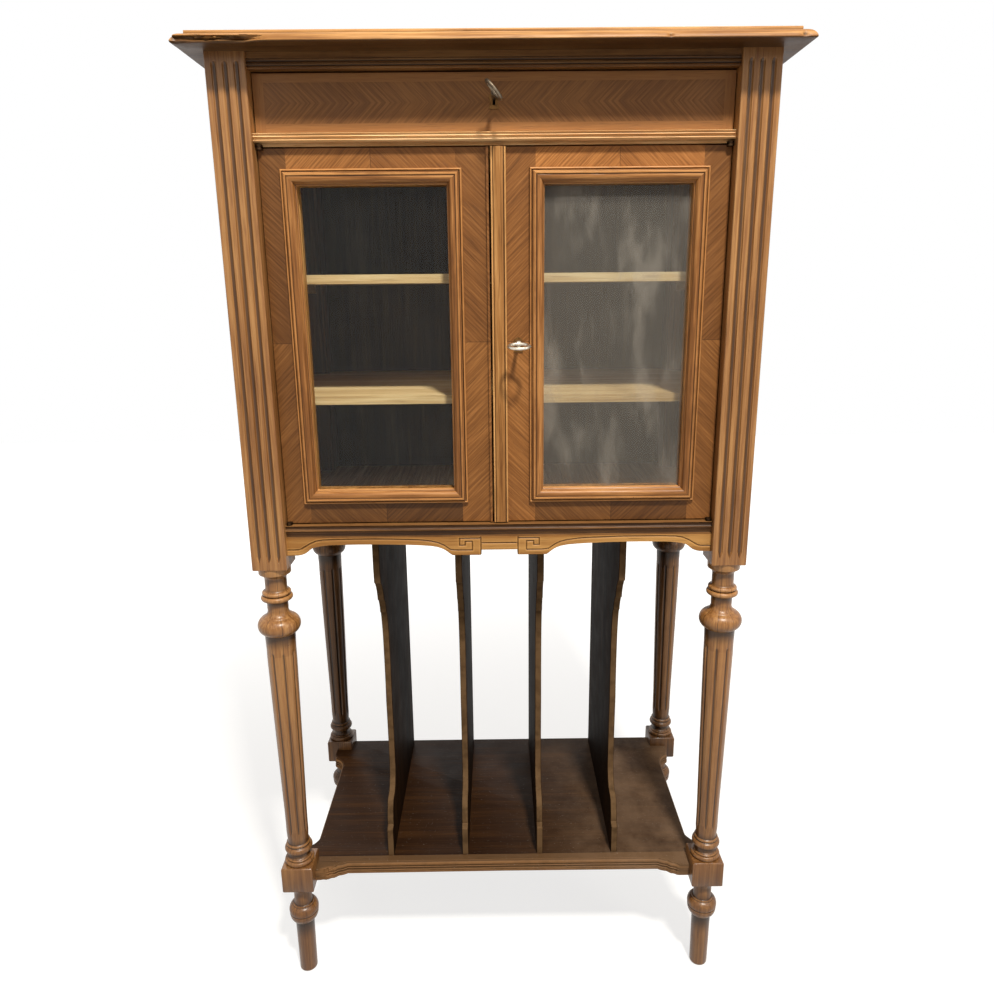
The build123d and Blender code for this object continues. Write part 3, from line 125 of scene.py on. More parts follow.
def spaced(points: np.ndarray, step: float) -> np.ndarray:
    """The same line with extra points so that no stretch is longer than a step.

    Args:
        points: array of shape (n, k).
        step: longest stretch.

    Returns:
        The denser line.
    """
    gaps = np.linalg.norm(np.diff(points, axis=0), axis=1)
    counts = np.maximum(1, np.ceil(gaps / step).astype(int))
    stretch = np.repeat(np.arange(len(counts)), counts)
    within = np.arange(counts.sum()) - np.repeat(np.cumsum(counts) - counts, counts)
    at = np.append(stretch + within / counts[stretch], len(gaps))
    whole = np.arange(len(points))
    return np.stack([np.interp(at, whole, points[:, k]) for k in range(points.shape[1])], 1)


def inward(points: np.ndarray) -> np.ndarray:
    """Unit-offset directions to the left of a closed outline, lengthened at the corners for the mitre.

    The direction at a point is (n1 + n2) / (1 + n1.n2), with n1 and n2 the normals of its two edges.

    Args:
        points: the outline, (n, 2), turning left.

    Returns:
        One direction for each point, (n, 2).
    """
    ahead = np.roll(points, -1, 0) - points
    ahead /= np.linalg.norm(ahead, axis=1)[:, None] + 1e-12
    normal = np.stack((-ahead[:, 1], ahead[:, 0]), 1)
    before = np.roll(normal, 1, 0)
    return (normal + before) / np.maximum(1 + (normal * before).sum(1), 0.35)[:, None]


def relief(line: np.ndarray, outward: float = 1.0, reach: float = 2.2) -> np.ndarray:
    """How far each point of a profile stands above its surroundings.

    The profile is averaged over a stretch of twice the reach; the height is the distance from that average
    along the outward normal, over 0.55 mm, held to -1..1.

    Args:
        line: the profile's points, (n, 2).
        outward: 1 if outside is to the right of the way, -1 if to the left.
        reach: half the stretch, in millimetres.

    Returns:
        One number for each point.
    """
    gaps = np.hypot(*np.diff(line, axis=0).T)
    at = np.concatenate(([0.0], np.cumsum(gaps)))
    shifts = np.linspace(-reach, reach, 11)
    near = np.stack([np.stack([np.interp(at + k, at, line[:, i]) for i in (0, 1)], 1) for k in shifts])
    way = near[-1] - near[0]
    way /= np.hypot(*way.T)[:, None] + 1e-9
    out = np.stack((way[:, 1], -way[:, 0]), 1) * outward
    return np.clip(((line - near.mean(0)) * out).sum(1) / 0.55, -1, 1)


def ripple(x: np.ndarray, y: np.ndarray, seed: float) -> np.ndarray:
    """A smooth repeatable unevenness from -1 to 1: the mean of five sines of mixed directions.

    Args:
        x: first coordinate, of any shape.
        y: second coordinate.
        seed: a number that picks the pattern.

    Returns:
        An array of the two's common shape.
    """
    total = np.zeros(np.broadcast(x, y).shape)
    for i in range(5):
        a, b = math.sin(seed + i * 2.1) * (1 + i), math.cos(seed * 1.7 + i * 1.3) * (1 + i)
        total = total + np.sin(a * x + b * y + seed * (i + 3))
    return total / 5


@dataclass
class Shell:
    """A mesh in the making: points in millimetres, quads and many-sided faces."""

    points: list[np.ndarray] = field(default_factory=list)
    quads: list[np.ndarray] = field(default_factory=list)
    polygons: list[list[int]] = field(default_factory=list)
    tones: list[np.ndarray] = field(default_factory=list)
    count: int = 0

    def grid(self, surface: np.ndarray, ring: bool = False, loop: bool = False, flip: bool = False,
             tone: np.ndarray | float = 0.0) -> np.ndarray:
        """Adds a grid of points as quads.

        Args:
            surface: array of shape (rows, columns, 3), columns (x, depth, z).
            ring: joins the last column to the first.
            loop: joins the last row to the first.
            flip: turns the faces over.
            tone: -1 in a groove, 1 on a ridge, for each point or row.

        Returns:
            The index of each point, of shape (rows, columns).
        """
        rows, columns = surface.shape[:2]
        index = np.arange(rows * columns).reshape(rows, columns) + self.count
        a = index if loop else index[:-1]
        b = np.roll(index, -1, 0) if loop else index[1:]
        if ring:
            a2, b2 = np.roll(a, -1, 1), np.roll(b, -1, 1)
        else:
            a, b, a2, b2 = a[:, :-1], b[:, :-1], a[:, 1:], b[:, 1:]
        faces = np.stack((a, a2, b2, b), -1).reshape(-1, 4)
        self.quads.append(faces[:, ::-1] if flip else faces)
        self.points.append(surface.reshape(-1, 3))
        self.tones.append(np.broadcast_to(tone, (rows, columns)).reshape(-1))
        self.count += rows * columns
        return index

    def cap(self, indices: np.ndarray, flip: bool = False) -> None:
        """Adds one flat face through the given points."""
        order = [int(i) for i in indices]
        self.polygons.append(order[::-1] if flip else order)

    def bar(self, section: np.ndarray, rows: np.ndarray, depth: float = 0.8) -> None:
        """Adds a closed section carried along a straight way, with both ends closed.

        Args:
            section: the section's own points, (n, 2), that its grooves and ridges are found from.
            rows: array of shape (m, n, 3), the placed sections.
            depth: how strongly grooves and ridges are marked.
        """
        # the section's relief becomes painted shade in its grooves and painted highlights on its beads
        index = self.grid(rows, ring=True, tone=depth * relief(section)[None])
        self.cap(index[0], flip=True)
        self.cap(index[-1])

    def block(self, low: np.ndarray, high: np.ndarray, pocket: np.ndarray, up: bool) -> None:
        """Adds a box with a blind rectangular pocket in its lower or upper face.

        Four rectangular rings are joined in order: the pocket's floor, its mouth, the box's edge on the
        mouth's side and the box's edge on the other side; the first and the last ring are closed.

        Args:
            low: the box's least (x, depth, z).
            high: its greatest.
            pocket: the pocket's two corners (x, depth, z), shape (2, 3).
            up: the pocket opens upwards.
        """
        mouth, far = (high[2], low[2]) if up else (low[2], high[2])
        floor = pocket[0, 2] if up else pocket[1, 2]
        rings = []
        for a, b, z in ((pocket[0], pocket[1], floor), (pocket[0], pocket[1], mouth), (low, high, mouth),
                        (low, high, far)):
            rings.append([(a[0], a[1], z), (b[0], a[1], z), (b[0], b[1], z), (a[0], b[1], z)])
        index = self.grid(np.array(rings), ring=True)
        self.cap(index[0])
        self.cap(index[-1], flip=True)

    def mesh(self, name: str) -> bpy.types.Mesh:
        """The mesh in metres, in the part's own frame.

        Args:
            name: the mesh's name.

        Returns:
            The new mesh, not yet on an object.
        """
        points = np.concatenate(self.points) + np.array((0.0, FRONT_Y, 0.0))
        quads = np.concatenate(self.quads).tolist() if self.quads else []
        made = bpy.data.meshes.new(name)
        made.from_pydata((points * MM).tolist(), [], quads + self.polygons)
        return made

    def place(self, name: str, finish: bpy.types.Material, body: str, slot: str, *nodes: str,
              smooth: float = 35.0) -> bpy.types.Object:
        """Makes the object, dresses it and ties it to its body.

        Args:
            name: the piece's name.
            finish: its material.
            body: the moving body it belongs to.
            slot: not used.
            nodes: CAD nodes that it stands for.
            smooth: largest angle between faces that still shade smoothly, in degrees.

        Returns:
            The new object.
        """
        mesh = self.mesh(name)
        # the tone attribute marks grooves and ridges, which the wood materials turn into painted shade and
        # painted highlights
        mark = mesh.attributes.new("tone", "FLOAT", "POINT")
        mark.data.foreach_set("value", np.concatenate(self.tones).astype(np.float32))
        mesh.validate()
        mesh.update()
        made = bpy.data.objects.new(name, mesh)
        bpy.context.scene.collection.objects.link(made)
        work = bmesh.new()
        work.from_mesh(mesh)
        bmesh.ops.remove_doubles(work, verts=work.verts, dist=1e-6)
        bmesh.ops.recalc_face_normals(work, faces=work.faces)
        work.to_mesh(mesh)
        work.free()
        mesh.shade_smooth()
        mesh.set_sharp_from_angle(angle=math.radians(smooth))
        mesh.materials.append(finish)
        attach(made, body)
        if nodes:
            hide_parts(*nodes)
        LOG.info("%s: %d faces", name, len(mesh.polygons))
        return made


def along(section: np.ndarray, stations: np.ndarray, axis: Axis, mirror: bool = False) -> np.ndarray:
    """A section carried along an axis.

    Args:
        section: points (p, q): (depth, z) for X, (x, z) for Y, (x, depth) for Z.
        stations: positions along the axis.
        axis: the way it runs.
        mirror: swaps left and right.

    Returns:
        Array of shape (stations, points, 3).
    """
    out = np.zeros((len(stations), len(section), 3))
    others = [i for i in range(3) if i != axis.value]
    out[..., others[0]] = section[None, :, 0]
    out[..., others[1]] = section[None, :, 1]
    out[..., axis.value] = stations[:, None]
    if mirror:
        out[..., 0] *= -1
    return out


# Finishes

GRAIN_SQUEEZE = 0.035  # how much the grain's pattern is drawn out along the wood
# the film's colour: dust, and a painted sheen of light where the film keeps to one side
DUST_AND_SHEEN = (0.235, 0.15, 0.092)
LINT = (0.62, 0.58, 0.52)
# multiplies what stands lower: darker towards the floor
LOW_DARKENING = (0.50, 0.46, 0.42)
LIPPING = (0.155, 0.084, 0.038)


class Tree:
    """A short way to write a node tree."""

    def __init__(self, tree: bpy.types.NodeTree) -> None:
        """Takes the tree that it writes."""
        self.tree = tree

    def add(self, kind: str, inputs: dict | None = None, **options: object) -> bpy.types.Node:
        """Adds a node.

        Args:
            kind: the node's type, without its prefix.
            inputs: socket name or number to a value or an output socket.
            options: properties of the node.

        Returns:
            The node.
        """
        node = self.tree.nodes.new("ShaderNode" + kind)
        for key, value in options.items():
            setattr(node, key, value)
        for key, value in (inputs or {}).items():
            self.feed(node.inputs[key], value)
        return node

    def feed(self, socket: Socket, value: object) -> None:
        """Sets a socket's value, or links an output to it.

        Args:
            socket: the input.
            value: a value or an output socket.
        """
        if isinstance(value, Socket):
            self.tree.links.new(value, socket)
        else:
            socket.default_value = value

    def math(self, operation: str, a: object, b: object = 0.0, c: object = 0.0) -> Socket:
        """The result of one sum on numbers or sockets."""
        return self.add("Math", {0: a, 1: b, 2: c}, operation=operation).outputs[0]

    def coord(self) -> Socket:
        """The object's own coordinates."""
        return self.add("TexCoord").outputs["Object"]

    def parts(self) -> tuple[Socket, Socket, Socket]:
        """The object's own coordinates as three numbers."""
        return tuple(self.add("SeparateXYZ", {0: self.coord()}).outputs)

    def noise(self, vector: object, scale: float, detail: float = 4.0, rough: float = 0.55) -> Socket:
        """A fractal noise's factor."""
        sockets = {"Vector": vector, "Scale": scale, "Detail": detail, "Roughness": rough}
        return self.add("TexNoise", sockets).outputs["Fac"]

    def ramp(self, value: object, stops: list[tuple[float, Colour]]) -> Socket:
        """A colour ramp.

        Args:
            value: where on the ramp.
            stops: each a place on it and its colour.

        Returns:
            The colour.
        """
        node = self.add("ValToRGB", {0: value})
        bar = node.color_ramp
        while len(bar.elements) < len(stops):
            bar.elements.new(0.5)
        for element, (at, colour) in zip(bar.elements, stops):
            element.position = at
            element.color = (*colour, 1.0)
        return node.outputs["Color"]

    def step(self, value: object, low: float, high: float) -> Socket:
        """A smooth step from 0 at low to 1 at high."""
        sockets = {0: value, 1: low, 2: high, 3: 0.0, 4: 1.0}
        return self.add("MapRange", sockets, interpolation_type="SMOOTHSTEP").outputs[0]

    def mix(self, factor: object, a: object, b: object, how: str = "MIX") -> Socket:
        """Two colours mixed.

        Args:
            factor: how much of the second.
            a: the first colour, or an output socket.
            b: the second.
            how: the way they blend.

        Returns:
            The colour.
        """
        node = self.add("Mix", {}, data_type="RGBA", blend_type=how)
        self.feed(node.inputs[0], factor)
        self.feed(node.inputs[6], a if isinstance(a, Socket) else (*a, 1.0))
        self.feed(node.inputs[7], b if isinstance(b, Socket) else (*b, 1.0))
        return node.outputs[2]

    def choose(self, factor: object, a: object, b: object) -> Socket:
        """One of two vectors.

        Args:
            factor: 0 for the first, 1 for the second.
            a: the first.
            b: the second.

        Returns:
            The vector.
        """
        node = self.add("Mix", {}, data_type="VECTOR")
        self.feed(node.inputs[0], factor)
        self.feed(node.inputs[4], a)
        self.feed(node.inputs[5], b)
        return node.outputs[1]

    def join(self, x: object, y: object, z: object) -> Socket:
        """Three numbers as a vector."""
        return self.add("CombineXYZ", {0: x, 1: y, 2: z}).outputs[0]

    def seen(self) -> Socket:
        """Tells rays that show a surface from those that light others.

        Returns:
            1 for rays from the camera and for those that come through glass or off a gloss, else 0.
        """
        rays = self.add("LightPath").outputs
        straight = self.math("MAXIMUM", rays["Is Camera Ray"], rays["Is Transmission Ray"])
        return self.math("MAXIMUM", straight, rays["Is Glossy Ray"])


class Nodes(Tree):
    """The node tree of a new material with a Principled shader."""

    def __init__(self, name: str) -> None:
        """Starts the material.

        Args:
            name: its name.
        """
        self.material = bpy.data.materials.new(name)
        self.material.use_nodes = True
        super().__init__(self.material.node_tree)
        self.shader = self.tree.nodes["Principled BSDF"]

    def bump(self, height: object, strength: float, distance: float) -> None:
        """Feeds a bump to the shader's normal."""
        node = self.add("Bump", {"Height": height, "Strength": strength, "Distance": distance})
        self.feed(self.shader.inputs["Normal"], node.outputs[0])


def shade(colour: Colour, share: float) -> Colour:
    """A colour made darker or lighter by a share."""
    return tuple(v * share for v in colour)


def linear(red: int, green: int, blue: int) -> Colour:
    """A screen colour as linear light, by the usual 2.4 power with its straight foot.

    Args:
        red: 0 to 255.
        green: 0 to 255.
        blue: 0 to 255.

    Returns:
        The three as linear shares of white.
    """
    parts = [v / 255 for v in (red, green, blue)]
    return tuple(p / 12.92 if p <= 0.04045 else ((p + 0.055) / 1.055) ** 2.4 for p in parts)


@dataclass(frozen=True)
class Timber:
    """A polished old wood: three colours of grain, and how worn and highlighted, how dusty and sheened, and
    how glossy it is.
    """

    name: str
    dark: Colour
    middle: Colour
    light: Colour
    grain: Axis = Axis.X
    fine: float = 260.0
    gloss: float = 0.42
    wear_and_highlight: float = 0.5
    dust_and_sheen: float = 0.0
    shift: float = 0.0
    figure: float = 0.42
    darker_low: float = 0.0
    dust_and_sheen_right: bool = False
    shine: float = 0.24
    edge: Colour | None = None

    def vector(self, nodes: Nodes) -> Socket:
        """Object coordinates squeezed along the grain.

        Args:
            nodes: the material's tree.

        Returns:
            The vector for the grain's noises.
        """
        scale = [1.0, 1.0, 1.0]
        scale[self.grain.value] = GRAIN_SQUEEZE
        sockets = {"Vector": nodes.coord(), "Location": (self.shift,) * 3, "Scale": tuple(scale)}
        return nodes.add("Mapping", sockets).outputs[0]

    def extra(self, nodes: Nodes, colour: Socket) -> Socket:
        """A place for what one kind of surface adds to the colour."""
        return colour

    def figured(self, nodes: Nodes, vector: Socket, fibre: Socket) -> Socket:
        """The grain's colour: fine fibre, broader figure and slow patches on a ramp of the three colours.

        Args:
            nodes: the material's tree.
            vector: coordinates along the grain.
            fibre: the fine fibre's noise.

        Returns:
            The colour.
        """
        figure = nodes.noise(vector, self.fine * 0.16, 3.0, 0.5)
        patches = nodes.noise(nodes.coord(), 5.0, 2.0, 0.5)
        mixed = nodes.math("ADD", nodes.math("MULTIPLY", fibre, 1.0 - self.figure),
                           nodes.math("MULTIPLY", figure, self.figure))
        mixed = nodes.math("ADD", mixed, nodes.math("MULTIPLY", nodes.math("SUBTRACT", patches, 0.5), 0.25))
        return nodes.ramp(mixed, [(0.36, self.dark), (0.5, self.middle), (0.64, self.light)])

    def worn(self, nodes: Nodes, colour: Socket) -> Socket:
        """Darkens the grooves with painted shade, pales the ridges with wear and a painted highlight, and
        adds a few worm holes.

        Args:
            nodes: the material's tree.
            colour: the colour so far.

        Returns:
            The colour.
        """
        coord = nodes.coord()
        tone = nodes.add("Attribute", attribute_name="tone").outputs["Fac"]
        # painted shade: the grooves and recesses that the tone marks are darkened towards a very dark brown
        sunk = nodes.math("MULTIPLY", nodes.step(tone, -0.05, -0.7), 0.82)
        colour = nodes.mix(sunk, colour, shade(self.dark, 0.16))
        # wear and painted highlight: the ridges that the tone marks are lightened towards the edge colour
        raised = nodes.math("MULTIPLY", nodes.step(tone, 0.12, 0.8), self.wear_and_highlight * 0.8)
        rubbed = nodes.math("MULTIPLY", nodes.step(nodes.noise(coord, 55.0, 3.0), 0.30, 0.60), 0.4)
        raised = nodes.math("MULTIPLY", raised, nodes.math("ADD", rubbed, 0.6))
        edge = self.edge or tuple(min(1.0, v * 1.25) for v in self.light)
        colour = nodes.mix(raised, colour, edge)
        cells = nodes.add("TexVoronoi", {"Vector": coord, "Scale": 42.0})
        picked = nodes.add("SeparateColor", {0: cells.outputs["Color"]}).outputs[0]
        rare = nodes.math("GREATER_THAN", picked, 0.86)
        hole = nodes.math("MULTIPLY", nodes.math("LESS_THAN", cells.outputs["Distance"], 0.032), rare)
        return nodes.mix(hole, colour, shade(self.dark, 0.12))

    def dust_sheen_and_darkening(self, nodes: Nodes, colour: Socket) -> Socket:
        """Lays a patchy film of dust, which where it keeps to the right is a painted sheen of light, and pale
        specks of dust, and makes what stands lower darker.

        Args:
            nodes: the material's tree.
            colour: the colour so far.

        Returns:
            The colour.
        """
        coord = nodes.coord()
        across, _, height = nodes.parts()
        if self.dust_and_sheen:
            patches = nodes.step(nodes.noise(coord, 17.0, 5.0, 0.65), 0.12, 0.80)
            film = nodes.math("MULTIPLY", patches, self.dust_and_sheen)
            # painted light: kept to the right, the film paints the light that falls on that side
            if self.dust_and_sheen_right:
                film = nodes.math("MULTIPLY", film, nodes.step(across, -0.02, 0.26))
            colour = nodes.mix(film, colour, DUST_AND_SHEEN)
            specks = nodes.step(nodes.noise(coord, 900.0, 1.0), 0.76, 0.80)
            colour = nodes.mix(nodes.math("MULTIPLY", specks, self.dust_and_sheen * 1.6), colour, LINT)
        # darker towards the floor
        if self.darker_low:
            low = nodes.math("MULTIPLY", nodes.step(height, 0.66, 0.14), self.darker_low)
            colour = nodes.mix(low, colour, LOW_DARKENING, "MULTIPLY")
        return colour

    def make(self) -> bpy.types.Material:
        """Builds the material: grain, pores, painted shade in grooves, wear and painted highlights on ridges,
        dust and sheen, and a soft uneven polish.

        Returns:
            The material.
        """
        nodes = Nodes(self.name)
        coord = nodes.coord()
        vector = self.vector(nodes)
        fibre = nodes.noise(vector, self.fine, 6.0, 0.62)
        colour = self.extra(nodes, self.figured(nodes, vector, fibre))
        pores = nodes.step(nodes.noise(vector, self.fine * 2.2, 2.0, 0.5), 0.60, 0.68)
        colour = nodes.mix(nodes.math("MULTIPLY", pores, 0.35), colour, shade(self.dark, 0.45))
        colour = self.dust_sheen_and_darkening(nodes, self.worn(nodes, colour))
        nodes.feed(nodes.shader.inputs["Base Color"], colour)
        uneven = nodes.math("MULTIPLY", nodes.noise(coord, 26.0, 4.0, 0.6), 0.26)
        rough = nodes.math("ADD", nodes.math("MULTIPLY", fibre, 0.14),
                           nodes.math("ADD", uneven, self.gloss - 0.16))
        nodes.feed(nodes.shader.inputs["Roughness"], rough)
        nodes.shader.inputs["Specular IOR Level"].default_value = self.shine
        dents = nodes.math("MULTIPLY", nodes.noise(coord, 60.0, 2.0), 0.5)
        nodes.bump(nodes.math("SUBTRACT", nodes.math("ADD", fibre, dents), pores), 0.22, 0.0006)
        return nodes.material


@dataclass(frozen=True)
class Chevron(Timber):
    """Veneer laid at 45 degrees in two sheets that meet in a chevron."""

    join: Join = Join.ACROSS
    centre: tuple[float, float] = (0.0, 0.0)
    slant: float = 1.0

    def vector(self, nodes: Nodes) -> Socket:
        """Coordinates along and across the slanted grain.

        With a and b the distances across and along the joint's line, a is folded to |a|; along is
        (b + s|a|)/sqrt2 and across is (b - s|a|)/sqrt2, where s is the slant.

        Args:
            nodes: the material's tree.

        Returns:
            The vector for the grain's noises.
        """
        across, depth, height = nodes.parts()
        x = nodes.math("SUBTRACT", across, self.centre[0])
        z = nodes.math("SUBTRACT", height, self.centre[1])
        folded, straight = (z, x) if self.join is Join.ACROSS else (x, z)
        folded = nodes.math("MULTIPLY", nodes.math("ABSOLUTE", folded), self.slant)
        half = math.sqrt(0.5)
        way = nodes.math("MULTIPLY", nodes.math("ADD", straight, folded), half * GRAIN_SQUEEZE)
        over = nodes.math("MULTIPLY", nodes.math("SUBTRACT", straight, folded), half)
        side = nodes.math("MULTIPLY", nodes.math("SIGN", z if self.join is Join.ACROSS else x), 0.37)
        return nodes.join(nodes.math("ADD", way, side), over, nodes.math("ADD", depth, self.shift))

    def extra(self, nodes: Nodes, colour: Socket) -> Socket:
        """Shades one sheet a little against the other and draws the joint.

        Args:
            nodes: the material's tree.
            colour: the colour so far.

        Returns:
            The colour with the joint.
        """
        across, _, height = nodes.parts()
        place = (height, self.centre[1]) if self.join is Join.ACROSS else (across, self.centre[0])
        away = nodes.math("SUBTRACT", *place)
        upper = nodes.math("GREATER_THAN", away, 0.0)
        colour = nodes.mix(nodes.math("MULTIPLY", upper, 0.20), colour, self.dark, "MULTIPLY")
        line = nodes.math("LESS_THAN", nodes.math("ABSOLUTE", away), 0.00045)
        return nodes.mix(nodes.math("MULTIPLY", line, 0.7), colour, shade(self.dark, 0.4))


@dataclass(frozen=True)
class DrawerVeneer(Chevron):
    """The drawer's veneer: chevrons about its middle, with a plain band along each edge."""

    half: tuple[float, float] = (0.2995, 0.034)
    band: float = 0.013

    def vector(self, nodes: Nodes) -> Socket:
        """Slanted grain inside the band and straight grain in it.

        Args:
            nodes: the material's tree.

        Returns:
            The vector for the grain's noises.
        """
        across, depth, height = nodes.parts()
        x = nodes.math("SUBTRACT", across, self.centre[0])
        z = nodes.math("SUBTRACT", height, self.centre[1])
        half = math.sqrt(0.5)
        a, b = nodes.math("ABSOLUTE", x), nodes.math("ABSOLUTE", z)
        slanted = nodes.join(nodes.math("MULTIPLY", nodes.math("ADD", a, b), half * GRAIN_SQUEEZE),
                             nodes.math("MULTIPLY", nodes.math("SUBTRACT", a, b), half), depth)
        lying = nodes.join(nodes.math("MULTIPLY", x, GRAIN_SQUEEZE), z, depth)
        standing = nodes.join(x, nodes.math("MULTIPLY", z, GRAIN_SQUEEZE), depth)
        ends, rails = self.edges(nodes)
        return nodes.choose(ends, nodes.choose(rails, slanted, lying), standing)

    def edges(self, nodes: Nodes) -> tuple[Socket, Socket]:
        """Masks of the upright bands at the ends and of the lying bands.

        Args:
            nodes: the material's tree.

        Returns:
            The two masks.
        """
        across, _, height = nodes.parts()
        x = nodes.math("ABSOLUTE", nodes.math("SUBTRACT", across, self.centre[0]))
        z = nodes.math("ABSOLUTE", nodes.math("SUBTRACT", height, self.centre[1]))
        ends = nodes.math("GREATER_THAN", x, self.half[0] - self.band)
        rails = nodes.math("GREATER_THAN", z, self.half[1] - self.band * 0.8)
        return ends, rails

    def extra(self, nodes: Nodes, colour: Socket) -> Socket:
        """Lightens the bands: partly their own paler veneer, partly a painted highlight of the light on the
        lower band.

        Args:
            nodes: the material's tree.
            colour: the colour so far.

        Returns:
            The colour with the bands.
        """
        ends, rails = self.edges(nodes)
        band = nodes.math("MAXIMUM", ends, rails)
        # the paler bands are partly a painted highlight
        return nodes.mix(nodes.math("MULTIPLY", band, 0.5), colour, shade(self.light, 1.3))


@dataclass(frozen=True)
class Board(Timber):
    """Raw wood that was never polished."""

    def make(self) -> bpy.types.Material:
        """Builds the polished wood, then takes the polish away.

        Returns:
            The material.
        """
        material = super().make()
        shader = material.node_tree.nodes["Principled BSDF"]
        shader.inputs["Specular IOR Level"].default_value = 0.12
        return material


@dataclass(frozen=True)
class ShelfWood(Timber):
    """The music shelf's dark wood, with a lighter lipping along the front."""

    strip: tuple[float, float] = (-0.1352, -0.1332)

    def extra(self, nodes: Nodes, colour: Socket) -> Socket:
        """Lightens the strip behind the front edge and draws the joint behind it.

        Args:
            nodes: the material's tree.
            colour: the colour so far.

        Returns:
            The colour with the lipping.
        """
        depth = nodes.parts()[1]
        strip = nodes.math("LESS_THAN", depth, self.strip[0])
        line = nodes.math("MULTIPLY", nodes.math("LESS_THAN", depth, self.strip[1]), 0.6)
        colour = nodes.mix(line, colour, shade(self.dark, 0.4))
        return nodes.mix(nodes.math("MULTIPLY", strip, 0.62), colour, LIPPING)


@dataclass(frozen=True)
class Metal:
    """A worn metal."""

    name: str
    colour: Colour
    tarnish: Colour
    rough: float
    spots: float = 0.5

    def make(self) -> bpy.types.Material:
        """Builds the material: patches of tarnish, fine scratches and worn edges.

        Returns:
            The material.
        """
        nodes = Nodes(self.name)
        coord = nodes.coord()
        patch = nodes.step(nodes.noise(coord, 210.0, 5.0, 0.65), 0.42, 0.66)
        colour = nodes.mix(nodes.math("MULTIPLY", patch, self.spots), self.colour, self.tarnish)
        nodes.feed(nodes.shader.inputs["Base Color"], colour)
        scratch = nodes.noise(coord, 2600.0, 3.0)
        rough = nodes.math("ADD", nodes.math("MULTIPLY", patch, 0.22), nodes.math("MULTIPLY", scratch, 0.12))
        nodes.feed(nodes.shader.inputs["Roughness"], nodes.math("ADD", rough, self.rough))
        nodes.shader.inputs["Metallic"].default_value = 1.0
        nodes.bump(nodes.math("ADD", scratch, patch), 0.12, 0.0002)
        return nodes.material


@dataclass(frozen=True)
class Pane:
    """Clear glass with a faint grey film of dust, which where it is thick is a painted reflection of the
    room.
    """

    name: str
    haze_and_reflection: float = 0.05

    def make(self) -> bpy.types.Material:
        """Mixes clear passage with a mirror that follows the angle, and a thin grey film of dust and painted
        reflection.

        Returns:
            The material.
        """
        nodes = Nodes(self.name)
        shader = nodes.shader
        shader.inputs["Base Color"].default_value = (0.93, 0.95, 0.94, 1)
        shader.inputs["Roughness"].default_value = 0.02
        shader.inputs["IOR"].default_value = 1.5
        shader.inputs["Transmission Weight"].default_value = 1.0
        coord = nodes.coord()
        slant = {"Vector": coord, "Scale": (4.0, 1.0, 1.3), "Rotation": (0.0, 0.6, 0.0)}
        streaks = nodes.add("Mapping", slant).outputs[0]
        film = nodes.step(nodes.noise(streaks, 6.0, 5.0, 0.6), 0.45, 0.85)
        clear = nodes.add("BsdfTransparent", {"Color": (0.96, 0.97, 0.95, 1)})
        mirror = nodes.add("BsdfGlossy", {"Color": (1, 1, 1, 1), "Roughness": 0.03})
        facing = nodes.add("LayerWeight", {"Blend": 0.5}).outputs["Facing"]
        angle = nodes.math("ADD", nodes.math("MULTIPLY", nodes.math("POWER", facing, 5.0), 0.8), 0.010)
        glass = nodes.add("MixShader", {0: angle, 1: clear.outputs[0], 2: mirror.outputs[0]})
        dust_and_sheen = nodes.add("BsdfDiffuse", {"Color": (0.46, 0.42, 0.37, 1)})
        amount = nodes.math("ADD", nodes.math("MULTIPLY", film, self.haze_and_reflection), self.haze_and_reflection * 0.4)
        dust_sheen_and_darkening = nodes.add("MixShader", {0: amount, 1: glass.outputs[0], 2: dust_and_sheen.outputs[0]})
        out = nodes.tree.nodes["Material Output"]
        nodes.tree.links.new(dust_sheen_and_darkening.outputs[0], out.inputs["Surface"])
        return nodes.material


DARK, MIDDLE, LIGHT = linear(100, 60, 24), linear(150, 103, 54), linear(194, 146, 90)
OLD_DARK, OLD_MIDDLE, OLD_LIGHT = linear(62, 38, 17), linear(100, 67, 36), linear(140, 100, 60)
VENEER = linear(101, 62, 27), linear(127, 82, 40), linear(152, 103, 56)
# painted shade: darker colours for the frieze rail, which lies in the shade of the top board; the base rail
# takes them too
SHADED = linear(66, 40, 17), linear(98, 64, 32), linear(132, 94, 54)

UPRIGHT = Timber("walnut upright", DARK, MIDDLE, LIGHT, Axis.Z, wear_and_highlight=0.75)
TOP_WOOD = Timber("walnut lying", DARK, MIDDLE, LIGHT, Axis.X, wear_and_highlight=0.85)
TURNED = Timber("walnut turned", OLD_DARK, OLD_MIDDLE, OLD_LIGHT, Axis.Z, wear_and_highlight=0.6, gloss=0.34, shine=0.35,
                dust_and_sheen=0.05, darker_low=0.3)
POSTS = Timber("walnut posts", linear(118, 76, 38), linear(147, 102, 58), linear(172, 127, 78), Axis.Z,
               wear_and_highlight=0.7, gloss=0.30, shine=0.42, darker_low=0.85, figure=0.3)
SHADED_WOOD = Timber("walnut shaded", *SHADED, Axis.X, wear_and_highlight=0.7, figure=0.3)
# pale from wear and from a painted highlight where the drawer rail's bead catches the light from above
WORN_AND_LIT_EDGE = Timber("walnut worn and lit edge", linear(186, 136, 82), linear(222, 178, 124), linear(240, 206, 158),
                   Axis.X, wear_and_highlight=0.9, figure=0.3)
CARVED = Timber("walnut carved", linear(122, 80, 36), linear(152, 106, 54), linear(182, 136, 78), Axis.X,
                wear_and_highlight=0.9, figure=0.75, gloss=0.4)
